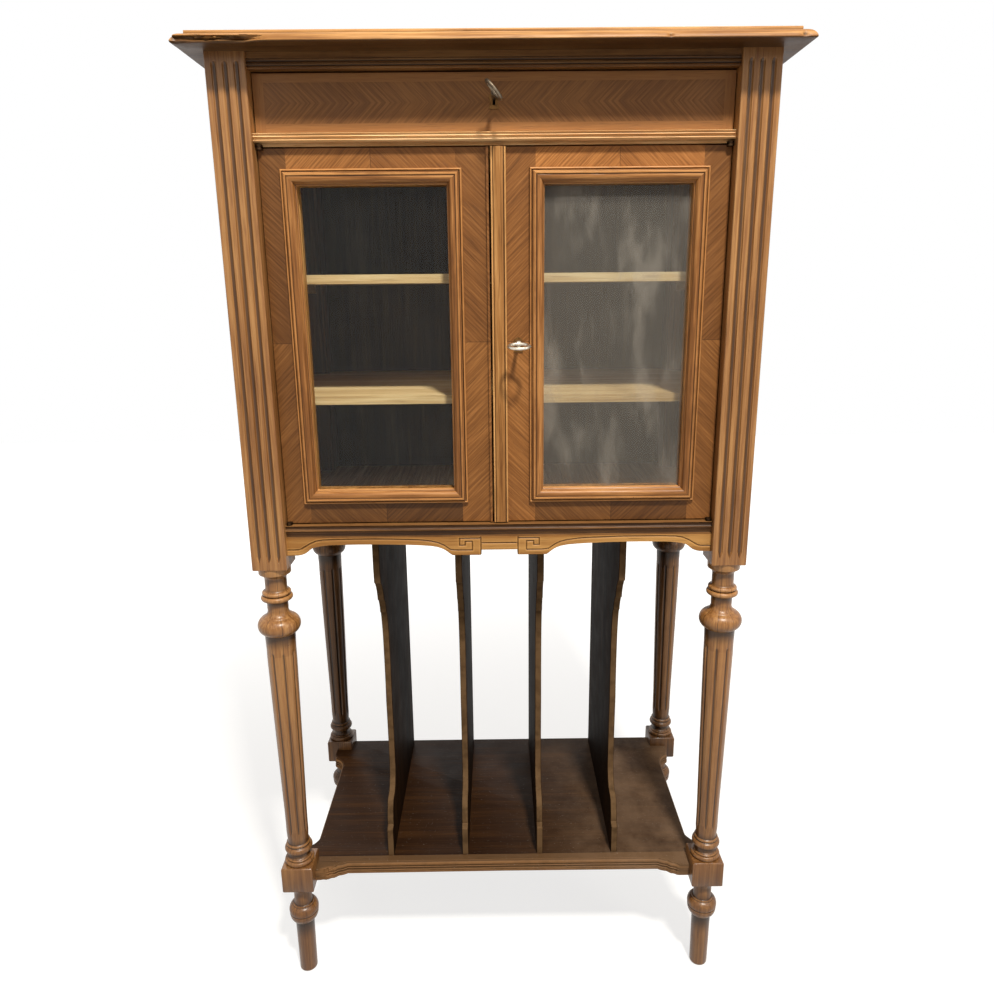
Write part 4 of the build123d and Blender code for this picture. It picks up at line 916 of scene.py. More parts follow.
# the dust film kept to the right is also a painted sheen of the light that falls on that side
MUSIC_SHELF = ShelfWood("walnut shelf", linear(36, 20, 9), linear(47, 28, 13), linear(64, 40, 19), Axis.X,
                        wear_and_highlight=0.9, gloss=0.46, dust_and_sheen=0.5, dust_and_sheen_right=True, shine=0.05, edge=linear(136, 99, 64))
DIVIDERS = Timber("walnut dividers", linear(22, 13, 6), linear(32, 19, 9), linear(48, 30, 15), Axis.Z,
                  wear_and_highlight=1.0, gloss=0.6, shine=0.02, edge=linear(122, 96, 68))
MOULDING = Timber("walnut moulding", linear(84, 49, 20), linear(128, 82, 41), linear(176, 124, 72), Axis.Z,
                  wear_and_highlight=0.9, gloss=0.34, figure=0.25)
# lighter than the upright lengths: a painted highlight on the lying runs, which catch the light from above
MOULDING_LYING = Timber("walnut moulding lying", linear(98, 58, 25), linear(146, 97, 51),
                        linear(188, 136, 82), Axis.X, wear_and_highlight=0.9, gloss=0.34, figure=0.25)


# Turned legs and posts


@dataclass
class Leg:
    """One leg: peg, bulb, block, fluted shaft, rings and square post."""

    name: str
    side: int
    front: bool
    flutes: int = 8
    flute_width: float = 5.4
    flute_depth: float = 2.0
    post_flute_width: float = 6.6
    post_flute_depth: float = 3.2
    post_pitch: float = 13.7
    post_flute_margin_top: float = 14.0
    post_flute_margin_foot: float = 11.0
    flute_foot: float = 264.0
    flute_head: float = 578.0
    turns: int = 240

    def centre(self) -> tuple[float, float]:
        """The leg's axis, as x and depth."""
        return self.side * (HALF - POST / 2), POST / 2 if self.front else DEPTH - POST / 2

    def profile(self) -> np.ndarray:
        """Radius and height of the turning, from the floor up; the shaft swells by a half sine.

        Returns:
            Points, (n, 2).
        """
        shaft = [((15.8 + 6.2 * i / 8 + 0.3 * math.sin(math.pi * i / 8), 247 + 357 * i / 8), 0)
                 for i in range(1, 9)]
        return traced((0.01, 0.0), [
            ((11.5, 0), 0), ((14, 3), -0.8), ((14.4, 60), 0), ((14.8, 96), 0), ((15.6, 97), 0),
            ((17, 98), -0.3), ((22.6, 110), -1.6), ((22.9, 112), 0), ((22.2, 113.2), 0.5), ((22.9, 114.4), 0),
            ((17, 128), -2.6), ((16.6, 129.5), 0), ((14, 132), 0.7), ((14, 148), 0), ((19, 163), 1.7),
            ((19, 167), 0), ((19, 208), 0), ((21, 209.2), 0), ((21, 216.4), -1.9), ((18.6, 217), 0),
            ((18.6, 219.4), -0.9), ((15, 224), 1.0), ((15.4, 228), 0), ((17.8, 229.5), 0),
            ((17.8, 240), -3.7), ((16.8, 241), 0), ((16.8, 245.4), -1.6), ((15.8, 247), 0.4),
        ] + shaft + [
            ((23.4, 605.4), 0), ((24.4, 606), 0), ((22.4, 630.4), -7.4), ((21, 631.4), 0), ((20.6, 632), 0),
            ((15.1, 644), 2.2), ((15.1, 654), 0), ((18.8, 656.6), 0.6), ((19.6, 657), 0),
            ((19.6, 664.6), -3.2),
            ((18.2, 665.2), 0.3), ((18.4, 671.4), -2.3), ((15.6, 676), 0.8), ((15.6, 691), 0),
            ((22.6, 698.4), 1.2), ((23, 699), 0), ((23, 711), 0), ((0.01, 711), 0),
        ], 1.1)

    def turning(self, shell: Shell) -> None:
        """Adds the surface of revolution with the shaft's flutes.

        The radius is r(z) - D g(z) sqrt(1 - (w/h)^2) where w is the arc distance from the nearest flute's
        middle, h half the flute's width and g(z) fades the flute out in a rounded end.

        Args:
            shell: the mesh it goes into.
        """
        line = self.profile()
        shaft = (line[:, 1] > 250) & (line[:, 1] < 600)
        rows = np.sort(np.concatenate((np.linspace(262, 276, 8), np.linspace(280, 556, 12),
                                       np.linspace(560, 580, 11))))
        body = np.stack((np.interp(rows, line[shaft, 1], line[shaft, 0]), rows), 1)
        line = np.concatenate((line[line[:, 1] <= 250], body, line[line[:, 1] >= 600]))
        angle = np.linspace(0, 2 * math.pi, self.turns, endpoint=False)
        pitch = 2 * math.pi / self.flutes
        off = np.abs((angle / pitch) % 1.0 - 0.5) * pitch
        radius, height = line[:, :1], line[:, 1:]
        width = self.flute_width / 2
        low = np.clip((height - self.flute_foot) / 12, 0, 1)
        high = np.clip((self.flute_head - height) / 7, 0, 1)
        open_width = width * np.sqrt(np.clip(1 - (1 - np.minimum(low, high)) ** 2, 0, 1)) + 1e-6
        cut = np.sqrt(np.clip(1 - (off[None] * radius / open_width) ** 2, 0, 1))
        radius = radius - self.flute_depth * cut * np.minimum(1, open_width / width)
        cx, cd = self.centre()
        surface = np.stack((cx + radius * np.cos(angle), cd + radius * np.sin(angle),
                            np.broadcast_to(height, radius.shape)), -1)
        # painted shade in the flutes, painted highlights on the ridges between them and on the turned beads
        edge = relief(line)[:, None]
        fluted = (height > self.flute_foot + 4) & (height < self.flute_head - 4)
        between = np.clip(1 - cut * 2, 0, 1) * fluted * 0.45
        tone = np.where(cut > 0.3, -0.85 * cut**6, edge + between)
        index = shell.grid(surface, ring=True, tone=tone)
        shell.cap(index[0], flip=True)
        shell.cap(index[-1])

    def square(self, shell: Shell, rows: np.ndarray, inset: np.ndarray, fluted: bool) -> None:
        """Adds a square length with eased edges, and flutes on the front face if asked.

        Args:
            shell: the mesh it goes into.
            rows: heights.
            inset: how far each row is drawn in.
            fluted: cuts the three flutes.
        """
        cx, cd = self.centre()
        half = POST / 2
        ease = 0.8
        face = np.linspace(-half + ease, half - ease, 121 if fluted else 3)
        plain = np.array((-half + ease, 0.0, half - ease))
        parts = [np.stack((face, np.full(face.shape, -half)), 1), np.stack((np.full(3, half), plain), 1),
                 np.stack((plain[::-1], np.full(3, half)), 1), np.stack((np.full(3, -half), plain[::-1]), 1)]
        section = np.concatenate(parts)
        surface = np.zeros((len(rows), len(section), 3))
        scale = (1 - inset / half)[:, None]
        surface[..., 0] = cx + section[None, :, 0] * scale
        surface[..., 1] = cd + section[None, :, 1] * scale
        surface[..., 2] = rows[:, None]
        tone = np.zeros((1, 1))
        if fluted:
            away = np.min(np.abs(section[:, 0][None] - (np.arange(3) - 1)[:, None] * self.post_pitch), 0)
            top, foot = TOP_FOOT - self.post_flute_margin_top, POST_FOOT + self.post_flute_margin_foot
            high = np.clip((top + 3.3 - rows) / 3.3, 0, 1)
            low = np.clip((rows - foot) / 9.0, 0, 1)
            width = self.post_flute_width / 2 * np.minimum(np.sqrt(1 - (1 - high) ** 2), low) + 1e-6
            cut = np.sqrt(np.clip(1 - (away[None] / width[:, None]) ** 2, 0, 1))
            on_front = np.arange(len(section)) < len(face)
            deep = self.post_flute_depth * cut * np.minimum(high, low)[:, None] ** 0.5
            surface[..., 1] += deep * on_front[None]
            # painted shade in the flutes and a painted highlight along their lips
            lip = np.clip(1 - np.abs(away[None] - width[:, None] - 0.9) / 1.0, 0, 1) * 0.45
            tone = np.where(cut > 0.05, -0.95 * cut**5, lip) * on_front[None]
        index = shell.grid(surface, ring=True, tone=tone)
        shell.cap(index[0], flip=True)
        shell.cap(index[-1])

    def build(self, finish: bpy.types.Material) -> None:
        """Makes the leg.

        Args:
            finish: its material.
        """
        shell = Shell()
        self.turning(shell)
        block = np.array((165.0, 166.2, 167.0, 207.0, 207.8, 209.0))
        self.square(shell, block, np.array((1.6, 0.5, 0.0, 0.0, 0.5, 1.6)), False)
        near = np.concatenate((np.linspace(719, 731, 13), np.linspace(1356, 1363.6, 9)))
        rows = np.unique(np.concatenate(([709.0, 709.8, 712], near, np.linspace(740, 1350, 12), [1373.0])))
        self.square(shell, rows, np.where(rows < 709.5, 0.8, 0.0), self.front)
        shell.place(self.name + "_turned", finish, "case", "stand_wood", self.name)


# The case


@dataclass
class Case:
    """Top board, rails and the carved front apron of the case."""

    top_side: float = 26.0
    top_front: float = 38.0
    top_back: float = 8.0
    rail_split: float = 24.0
    rail_back: float = 62.0
    lock_travel: float = 11.0
    bolt_travel: float = 9.0
    apron_top: float = 754.0
    apron_front: float = 10.0
    apron_back: float = 26.0
    carving: float = 1.3

    def top_board(self, finish: bpy.types.Material) -> None:
        """The top board: a thumb-moulded section carried round three sides, its left nose split away.

        Each row is the outline drawn out by the section's offset; near the split the nose is pulled in by
        some millimetres times a broken noise, and two nicks dent it by a bell curve.

        Args:
            finish: its material.
        """
        edge = traced((-16, 1373), [
            ((-1.2, 1373), 0), ((0, 1374), -0.3), ((0, 1375), 0),
            ((-13.0, 1384.6), -2.7), ((-13.0, 1385.2), 0),
            ((-13.5, 1385.6), 0), ((-13.5, 1388.2), 0), ((-14.3, 1389), -0.2), ((-18, 1389), 0),
        ], 1.0)
        ex, front, back = HALF + self.top_side, -self.top_front, DEPTH + self.top_back
        side_run = np.linspace(back, front, 90)[:-1]
        front_run = np.linspace(-1, 1, 300)
        rows = []
        for offset, height in edge:
            x = ex + offset
            d = front - offset
            stretched = back + (side_run - back) * (back - d) / (back - front)
            left = np.stack((np.full(side_run.shape, -x), stretched), 1)
            across = np.stack((front_run * x, np.full(front_run.shape, d)), 1)
            row = np.concatenate((left, across, left[::-1] * (-1, 1)))
            rows.append(np.column_stack((row, np.full(len(row), height))))
        surface = np.stack(rows)
        nose = np.clip(1 - np.abs(edge[:, 1] - 1377.0) / 5.0, 0, 1)[:, None]
        x, d = surface[..., 0], surface[..., 1]
        on_front = d < front + 17
        broken = np.clip((-x - 262) / 30, 0, 1) * np.clip((379 + x) / 8, 0.35, 1)
        jag = np.abs(ripple(x * 0.025, surface[..., 2] * 0.3, 4.0))
        jag = jag + 0.25 * np.abs(ripple(x * 0.2, x * 0, 9.0))
        split = np.clip((1381.5 - 4.5 * jag - surface[..., 2]) / 1.2, 0, 1)
        surface[..., 1] += np.where(on_front, split * broken * (4.5 + 7.0 * jag), 0)
        left_side = (x < -ex + 17) & ~on_front
        surface[..., 0] += np.where(left_side, nose * np.clip((60 - d) / 60, 0, 1) * 2.2 * jag, 0)
        nick = np.exp(-((x - 361) / 3.5) ** 2) + 0.8 * np.exp(-((x - 205) / 2.5) ** 2)
        surface[..., 1] += np.where(on_front, nose * nick * 3.0, 0)
        shell = Shell()
        # painted shade on the underside, in the split and in the nicks; painted highlights on the moulding's
        # rounds and shade in its hollows
        under = np.where(edge[:, 1] < 1374.5, -0.62, relief(edge) * 0.6)
        tone = under[:, None] - np.where(on_front, broken * split * 0.75, 0) - 0.8 * nick * nose * on_front
        index = shell.grid(surface, tone=np.clip(tone, -1, 1))
        shell.cap(index[0])
        shell.cap(index[-1], flip=True)
        shell.cap(np.concatenate((index[:, 0], index[::-1, -1])))
        shell.place("top_board_moulded", finish, "case", "case_wood", "top_board")

    def rail(self, name: str, section: np.ndarray, finish: bpy.types.Material, node: str,
             bolt: bpy.types.Object, travel: float, depth: float = 0.7) -> None:
        """A rail between the front posts: a moulded front bar, and a back bar with the bolt's mortise.

        Args:
            name: the piece's name.
            section: the front bar's section, carried along X with a slight waviness.
            finish: its material.
            node: the CAD node it stands for.
            bolt: the bolt that slides into the rail.
            travel: how far the bolt slides, up if positive.
            depth: how strongly grooves are marked.
        """
        shell = Shell()
        spots = np.empty(len(bolt.data.vertices) * 3)
        bolt.data.vertices.foreach_get("co", spots)
        spots = spots.reshape(-1, 3) / MM - np.array((0.0, FRONT_Y, 0.0))
        pocket = np.stack((spots.min(0) - 0.4, spots.max(0) + 0.4))
        pocket[1 if travel > 0 else 0, 2] += travel + math.copysign(0.6, travel)
        low = np.array((-INNER, self.rail_split, section[:, 1].min()))
        high = np.array((INNER, self.rail_back, section[:, 1].max()))
        pocket[:, 1] = np.clip(pocket[:, 1], low[1] + 0.3, high[1] - 0.3)
        shell.block(low, high, pocket, travel < 0)
        stations = np.linspace(-INNER, INNER, 61)
        rows = along(section, stations, Axis.X)
        worn = ripple(stations * 0.03, stations * 0, len(name) * 1.0)[:, None] * 0.15
        rows[..., 1] += np.where(section[None, :, 0] < self.rail_split, worn, 0)
        shell.bar(section, rows, depth)
        shell.place(name, finish, "case", "case_wood", node)

    def rails(self, finish: bpy.types.Material, worn: bpy.types.Material,
              nodes: dict[str, bpy.types.Object]) -> None:
        """The frieze rail, the drawer rail with its worn double bead, and the base rail with its nosing.

        Args:
            finish: the frieze's and the base's material, darker to paint the shade under the top board.
            worn: the drawer rail's, pale from wear and from a painted highlight on the bead.
            nodes: the CAD nodes by name.
        """
        frieze = traced((24, 1355), [
            ((24, 1373), 0), ((4.0, 1373), 0), ((4.0, 1366.2), 0), ((4.9, 1366.0), 0), ((4.9, 1365.4), 0),
            ((4.3, 1365.2), 0), ((4.3, 1361.2), 1.5), ((5.6, 1361.0), 0), ((5.6, 1360.4), 0),
            ((5.0, 1360.2), 0),
            ((5.0, 1356.6), 1.4), ((6.4, 1356.2), 0), ((6.8, 1355), 0),
        ], 0.5)
        self.rail("frieze_rail_beaded", frieze, finish, "frieze_rail", nodes["drawer_lock_bolt"],
                  self.lock_travel)
        drawer = traced((24, 1269), [
            ((24, 1283), 0), ((8.4, 1283), 0), ((7.9, 1282.6), 0), ((7.9, 1278.9), 1.7), ((8.9, 1278.7), 0),
            ((8.9, 1278.2), 0), ((7.7, 1278.0), 0), ((7.7, 1274.6), 1.6), ((8.8, 1274.3), 0),
            ((9.4, 1273.2), 0),
            ((19, 1273), 0), ((19, 1269), 0),
        ], 0.5)
        # the bead's pale wood is partly wear, partly a painted highlight
        self.rail("drawer_rail_beaded", drawer, worn, "drawer_rail",
                  nodes["left_door_upper_bolt"], self.bolt_travel, 0.35)
        base = traced((24, 754), [
            ((24, 772), 0), ((8.2, 772), 0), ((8.2, 764.6), 3.1), ((9.4, 764.2), 0), ((9.4, 763.4), 0),
            ((11.4, 762.6), 0.4), ((12.4, 756), 0.9), ((10.6, 755.4), 0), ((10.4, 754), 0),
        ], 0.5)
        self.rail("base_rail_nosed", base, finish, "base_rail", nodes["left_door_lower_bolt"],
                  -self.bolt_travel)

    def apron(self, finish: bpy.types.Material) -> None:
        """The front apron: its face is a height field with the carved lines cut 1.3 mm deep.

        The face is a grid over x and t, with z = z0(x) + t (754 - z0(x)) and z0 the lower outline. A line
        lowers the face by D exp(-(w/0.75)^2), where w is the distance to it.

        Args:
            finish: its material.
        """
        arch = np.array(((0, 733.5), (25.6, 733.5), (25.61, 726.6), (26.6, 725.8), (66.5, 725.8), (68, 726.6),
                         (71.5, 729.2), (74.5, 731.8), (78, 734.2), (82.4, 736.4), (88, 738.3),
                         (96, 739.8), (110, 741.0), (129, 742.0),
                         (150, 742.8), (171, 743.1), (200, 743.2), (228, 743.0), (240, 742.7), (252, 741.5),
                         (260.6, 739.9), (265.8, 738.3), (269, 736), (272.4, 733), (276.5, 730.4),
                         (281.6, 728.6),
                         (286, 727.9), (301, 727.7)))
        half = np.unique(np.concatenate((np.linspace(0, 25.6, 26), [25.61], np.linspace(26, 70, 61),
                                         np.linspace(70, 301, 232))))
        x = np.concatenate((-half[::-1], half[1:]))
        low = np.interp(np.abs(x), arch[:, 0], arch[:, 1])
        t = np.concatenate(([0.0, 0.03], np.linspace(0.06, 1, 44)))[:, None]
        z = low[None] + t * (self.apron_top - low[None])
        lines = [
            [(-24, 743.8), (24, 743.8)],
            [(26.3, 726.5), (26.3, 752.6)],
            [(26.3, 750.8), (56.5, 750.8)],
            [(56.5, 750.8), (56.5, 740.6), (48.6, 740.6), (48.6, 746.2), (38.4, 746.2), (38.4, 733.4),
             (60.5, 733.4), (69, 734.2), (73, 736.8), (79, 741.2), (87, 744.9), (97, 747.3), (112, 749.2),
             (129, 750.2), (171, 751.4),
             (228, 751.4), (250, 750.6), (260, 749), (268, 745.6), (275, 741.4), (281, 737.8), (286, 736.3),
             (301, 736.1)],
        ]
        away = np.full(z.shape, 99.0)
        ax = np.abs(x)[None] + z * 0
        for line in lines:
            for (x0, z0), (x1, z1) in zip(line[:-1], line[1:]):
                dx, dz = x1 - x0, z1 - z0
                span = dx * dx + dz * dz
                u = np.clip(((ax - x0) * dx + (z - z0) * dz) / span, 0, 1)
                away = np.minimum(away, np.hypot(ax - x0 - u * dx, z - z0 - u * dz))
        face = self.apron_front + self.carving * np.exp(-(away / 0.75) ** 2)
        face = face + np.where(t < 0.02, 0.9, 0.0) + 0.12 * ripple(ax * 0.05, z * 0.2, 2.0)
        shell = Shell()
        front = np.stack((x[None] + z * 0, face, z), -1)
        # painted highlight beside each carved line and painted shade in it
        beside = 0.65 * np.exp(-((away - 2.0) / 0.7) ** 2)
        index = shell.grid(front, tone=beside - 0.62 * np.exp(-(away / 1.05) ** 2))
        back = front.copy()
        back[..., 1] = self.apron_back
        other = shell.grid(back[[0, -1]], flip=True)
        shell.quads.append(np.stack((index[0, :-1], other[0, :-1], other[0, 1:], index[0, 1:]), 1))
        shell.quads.append(np.stack((index[-1, :-1], index[-1, 1:], other[1, 1:], other[1, :-1]), 1))
        shell.cap(np.concatenate((index[:, 0], other[::-1, 0])))
        shell.cap(np.concatenate((index[::-1, -1], other[:, -1])))
        shell.place("apron_carved", finish, "case", "case_wood", "apron_front")


# Music shelf and dividers


@dataclass
class Stand:
    """The open shelf between the leg blocks and its four dividers."""

    top: float = 192.0
    thickness: float = 20.0
    divider: float = 10.0
    divider_back: float = 371.0
    ease: float = 0.8
    pitch: float = 122.0

    def outline(self) -> tuple[np.ndarray, np.ndarray]:
        """The shelf's plan and, for each point, whether its edge is free of a block.

        Returns:
            Points (x, depth) turning left, and a weight of 1 on free edges and 0 at the blocks.
        """
        right = traced((0, 33.5), [
            ((252, 32.6), 0), ((266, 27.6), -0.8), ((273, 22.4), -0.4), ((281, 19), 0.9), ((301, 19), 0),
            ((301, 49), 0), ((331, 49), 0), ((331, 68), 0),
            ((327, 76), -0.9), ((315, 87), 1.6), ((312, 98), 0.8),
            ((312, 290), 0), ((315, 306), 1.0), ((328, 319), 1.6), ((331, 327), -0.9), ((331, 349), 0),
            ((301, 349), 0), ((301, 384), 0), ((0, 384), 0),
        ], 2.0)
        free = ((right[:, 0] < 300.5) | (right[:, 0] > 302) | (right[:, 1] > 383) & (right[:, 1] < 385))
        free &= ~((np.abs(right[:, 1] - 49) < 0.5) | (np.abs(right[:, 1] - 349) < 0.5))
        left = right[::-1] * (-1, 1)
        return np.concatenate((right, left[1:-1])), np.concatenate((free, free[::-1][1:-1])).astype(float)

    def shelf(self, finish: bpy.types.Material) -> None:
        """The shelf: its plan drawn in by the moulded edge's section, with worn front corners.

        Each row is P(s) + o N(s), with o the section's offset and N the mitred inward direction.

        Args:
            finish: its material.
        """
        plan, free = self.outline()
        marks = spaced(np.column_stack((plan, free)), 5.0)
        plan, free = marks[:, :2], marks[:, 2] > 0.99
        edge = traced((0.6, self.top - self.thickness), [
            ((0, 172.8), 0), ((0, 175.4), 0), ((1.1, 175.9), 0), ((1.1, 176.5), 0), ((0.4, 176.9), 0),
            ((0.4, 182.6), 2.0), ((1.9, 183.2), 0), ((1.9, 184.0), 0), ((1.3, 184.4), 0), ((2.4, 189.6), 1.0),
            ((3.3, 190.2), 0), ((3.4, 191.2), 0), ((4.2, 192), 0.2),
        ], 0.6)
        edge[:, 0] = np.abs(edge[:, 0])
        normal = inward(plan) * free[:, None]
        surface = np.zeros((len(edge), len(plan), 3))
        surface[..., :2] = plan[None] + normal[None] * edge[:, None, :1]
        surface[..., 2] = edge[:, 1:]
        x, d = surface[..., 0], surface[..., 1]
        chip = np.exp(-((x + 283) / 11) ** 2) * np.clip((30 - d) / 8, 0, 1)
        upper = np.clip((surface[..., 2] - 180) / 12, 0, 1)
        jag = np.abs(ripple(x * 0.5, d * 0.6, 5.0))
        surface[..., 1] += chip * (0.4 + 0.6 * upper) * (1.0 + 5.5 * jag)
        surface[..., 2] -= chip * upper * jag * 4.5
        shell = Shell()
        # lightens the moulded edge below the top, with painted highlights on its beads and painted shade in
        # its hollows; the chipped corner shows pale raw wood
        side = np.where(edge[:, 1] < 190.5, 0.45, 0.0) + 0.9 * relief(edge, -1.0)
        marks = np.clip(side, -1, 1)[:, None] + 1.2 * chip
        index = shell.grid(surface, ring=True, flip=True, tone=marks)
        shell.cap(index[0], flip=True)
        shell.cap(index[-1])
        shell.place("music_shelf_moulded", finish, "case", "stand_wood", "music_shelf")

    def dividers(self, finish: bpy.types.Material) -> None:
        """The dividers: the scalloped outline carried across the thickness, its edges eased.

        Each row is the outline P(s) + o N(s) at x, with o from 0.9 at the faces to 0 inside them.

        Args:
            finish: their material.
        """
        front = traced((50, 187), [
            ((50, 239), 0), ((53, 240.4), -0.3), ((58, 241), 0), ((60, 243), 0.3), ((63, 262), 1.5),
            ((73, 280), 2.2), ((75, 281.4), 0), ((91, 283), 0), ((93, 285), 0), ((108, 318), -3.5),
            ((107, 440), -1.6), ((109, 530), -1.4), ((100, 598), -2.4), ((97, 601), 0), ((94, 603.4), 0),
            ((84, 626), -1.8), ((82, 628.4), 0), ((77, 630.6), 0), ((60, 663), -3.0), ((58, 665), 0),
            ((52.6, 668), 0), ((50.4, 690), 0), ((50, 753), 0), ((63, 753), 0), ((63, 759), 0),
        ], 3.0)
        plan = np.concatenate((front, ((self.divider_back, front[-1, 1]), (self.divider_back, front[0, 1]))))
        plan = plan[::-1]
        normal = inward(plan)
        face = self.divider / 2
        rows = np.array(((-face, 0.9), (self.ease - face, 0.0), (face - self.ease, 0.0), (face, 0.9)))
        for number in range(4):
            middle = (number - 1.5) * self.pitch
            surface = np.zeros((len(rows), len(plan), 3))
            surface[..., 0] = middle + rows[:, :1]
            surface[..., 1:] = plan[None] + normal[None] * rows[:, None, 1:]
            shell = Shell()
            index = shell.grid(surface, ring=True, tone=np.array((-0.05, 0.6, 0.6, -0.05))[:, None])
            shell.cap(index[0], flip=True)
            shell.cap(index[-1])
            name = f"music_divider_{number + 1}"
            shell.place(name + "_shaped", finish, "case", "stand_wood", name)


# Doors


@dataclass
class Door:
    """The mouldings of one door and its veneers."""

    side: int
    low: float = 774.0
    high: float = 1267.0
    inner: float = 43.0
    outer: float = 273.5
    foot: float = 802.0
    head: float = 1242.5

    def body(self) -> str:
        """The body that the door's pieces ride on."""
        return "left_door" if self.side < 0 else "right_door"

    def moulding(self, upright: bpy.types.Material, lying: bpy.types.Material) -> None:
        """The mitred moulding: at offset o the frame is the rectangle drawn in by o on all sides.

        Args:
            upright: the material of the lengths on the stiles.
            lying: the material of the lengths on the rails.
        """
        section = traced((0, 19), [
            ((0, 16.2), 0), ((0.5, 15.4), 0), ((2.6, 15.0), -0.9), ((3.0, 16.0), 0), ((3.6, 16.0), 0),
            ((4.2, 12.4), 0), ((5.0, 11.6), 0), ((5.6, 11.6), 0), ((5.8, 10.6), 0), ((6.8, 10.0), -0.3),
            ((8.2, 10.0), 0), ((8.6, 10.9), 0), ((9.6, 10.9), 0), ((17.4, 15.4), -2.0), ((18.2, 16.2), 0),
            ((18.2, 17.6), 0), ((19.4, 18.4), 0), ((19.4, 27), 0), ((8.2, 27), 0), ((8.2, 19), 0),
        ], 0.7)
        x0, x1 = sorted((self.side * self.inner, self.side * self.outer))
        z0, z1 = self.foot, self.head
        o, d = section[:, 0], section[:, 1]
        corners = [(x0 + o, z0 + o), (x1 - o, z0 + o), (x1 - o, z1 - o), (x0 + o, z1 - o)]
        shells = (Shell(), Shell())
        for k in range(4):
            shell = shells[k % 2]
            (ax, az), (bx, bz) = corners[k], corners[(k + 1) % 4]
            t = np.linspace(0, 1, 41)[:, None]
            rows = np.stack((ax + (bx - ax) * t, d + 0 * t, az + (bz - az) * t), -1)
            rows[..., 1] += ripple(rows[..., 0] * 0.02 + k, rows[..., 2] * 0.02, 3.0 + self.side) * 0.12
            shell.bar(section, rows)
        name = self.body() + "_moulding"
        shells[1].place(name + "_stiles", upright, self.body(), "case_wood", name)
        shells[0].place(name + "_rails", lying, self.body(), "case_wood")

    def astragal(self, finish: bpy.types.Material) -> None:
        """The upright bead that covers the gap, on the right door: two rounds with a fillet between.

        Args:
            finish: its material.
        """
        section = traced((-6.5, 19), [
            ((-6.5, 13.8), 0), ((-5.2, 12.6), -0.5), ((-4.0, 13.6), -0.3), ((-3.4, 13.8), 0),
            ((-2.6, 12.9), 0),
            ((8.8, 12.9), -0.9), ((9.6, 13.8), 0), ((10.4, 13.8), 0), ((11.0, 12.9), 0), ((13.0, 14.6), -0.7),
            ((13.0, 19), 0),
        ], 0.6)
        shell = Shell()
        rows = along(section, np.linspace(self.low, self.high, 61), Axis.Z)
        rows[..., 1] = np.maximum(rows[..., 1], 12.0)
        shell.bar(section, rows)
        shell.place("right_door_astragal_beaded", finish, "right_door", "case_wood", "right_door_astragal")

    def veneers(self, nodes: dict[str, bpy.types.Object]) -> None:
        """Dresses the door's frame: chevrons meet half way up each stile and half way along each rail.

        Args:
            nodes: the CAD nodes by name.
        """
        middle = (self.low + self.high) / 2 * MM + 0.004
        centre = self.side * (self.inner + self.outer) / 2 * MM
        name = self.body()
        left = self.side < 0
        # painted light: each part's share lightens or darkens its veneer for how light falls on it, darkest
        # on the bottom rails and left hinge stile, lightest on the top rails, most on the right
        for part, join, place, slant, light in (
            ("hinge_stile", Join.ACROSS, (self.side * 0.2825, middle), -1.0, 0.72 if left else 0.95),
            ("meeting_stile", Join.ACROSS, (self.side * 0.02, middle), -1.0, 1.0 if left else 1.15),
            ("top_rail", Join.DOWN, (centre, 1.254), -1.0, 1.15 if left else 1.6),
            ("bottom_rail", Join.DOWN, (centre, 0.79), 1.0, 0.5 if left else 0.65),
        ):
            slant = slant * -self.side if join is Join.ACROSS else slant
            tone = (shade(colour, light) for colour in VENEER)
            finish = Chevron(f"veneer {name} {part}", *tone, join=join, centre=place, slant=slant, fine=430.0,
                             gloss=0.38, wear_and_highlight=0.2, shift=0.3 * len(part), figure=0.22)
            dress(nodes, finish.make(), f"{name}_{part}")


def dress(nodes: dict[str, bpy.types.Object], finish: bpy.types.Material, *names: str) -> None:
    """Gives CAD nodes a finish.

    Args:
        nodes: the CAD nodes by name.
        finish: the material.
        names: the nodes that it goes on.
    """
    for name in names:
        made = nodes[name]
        made.data.materials.clear()
        made.data.materials.append(finish)
        LOG.info("%s: %s", name, finish.name)


# Drawer, inside and fittings


@dataclass
class Drawer:
    """The veneered front and the plain wood behind it."""

    middle: float = 1.319
    front: Colour = linear(124, 83, 46)

    def build(self, nodes: dict[str, bpy.types.Object]) -> None:
        """Dresses the drawer and what it runs on.

        Args:
            nodes: the CAD nodes by name.
        """
        veneer = DrawerVeneer("veneer drawer", linear(106, 68, 36), self.front, linear(144, 100, 58),
                              centre=(0.0, self.middle), fine=430.0, gloss=0.38, wear_and_highlight=0.2, figure=0.15)
        dress(nodes, veneer.make(), "drawer_front")
        linings = Board("drawer linings", linear(140, 106, 66), linear(176, 142, 98), linear(204, 176, 130),
                        Axis.Y, gloss=0.6, wear_and_highlight=0.2, dust_and_sheen=0.08)
        dress(nodes, linings.make(), "drawer_sides", "drawer_back", "drawer_bottom", "drawer_runners",
              "dust_board", "case_floor")


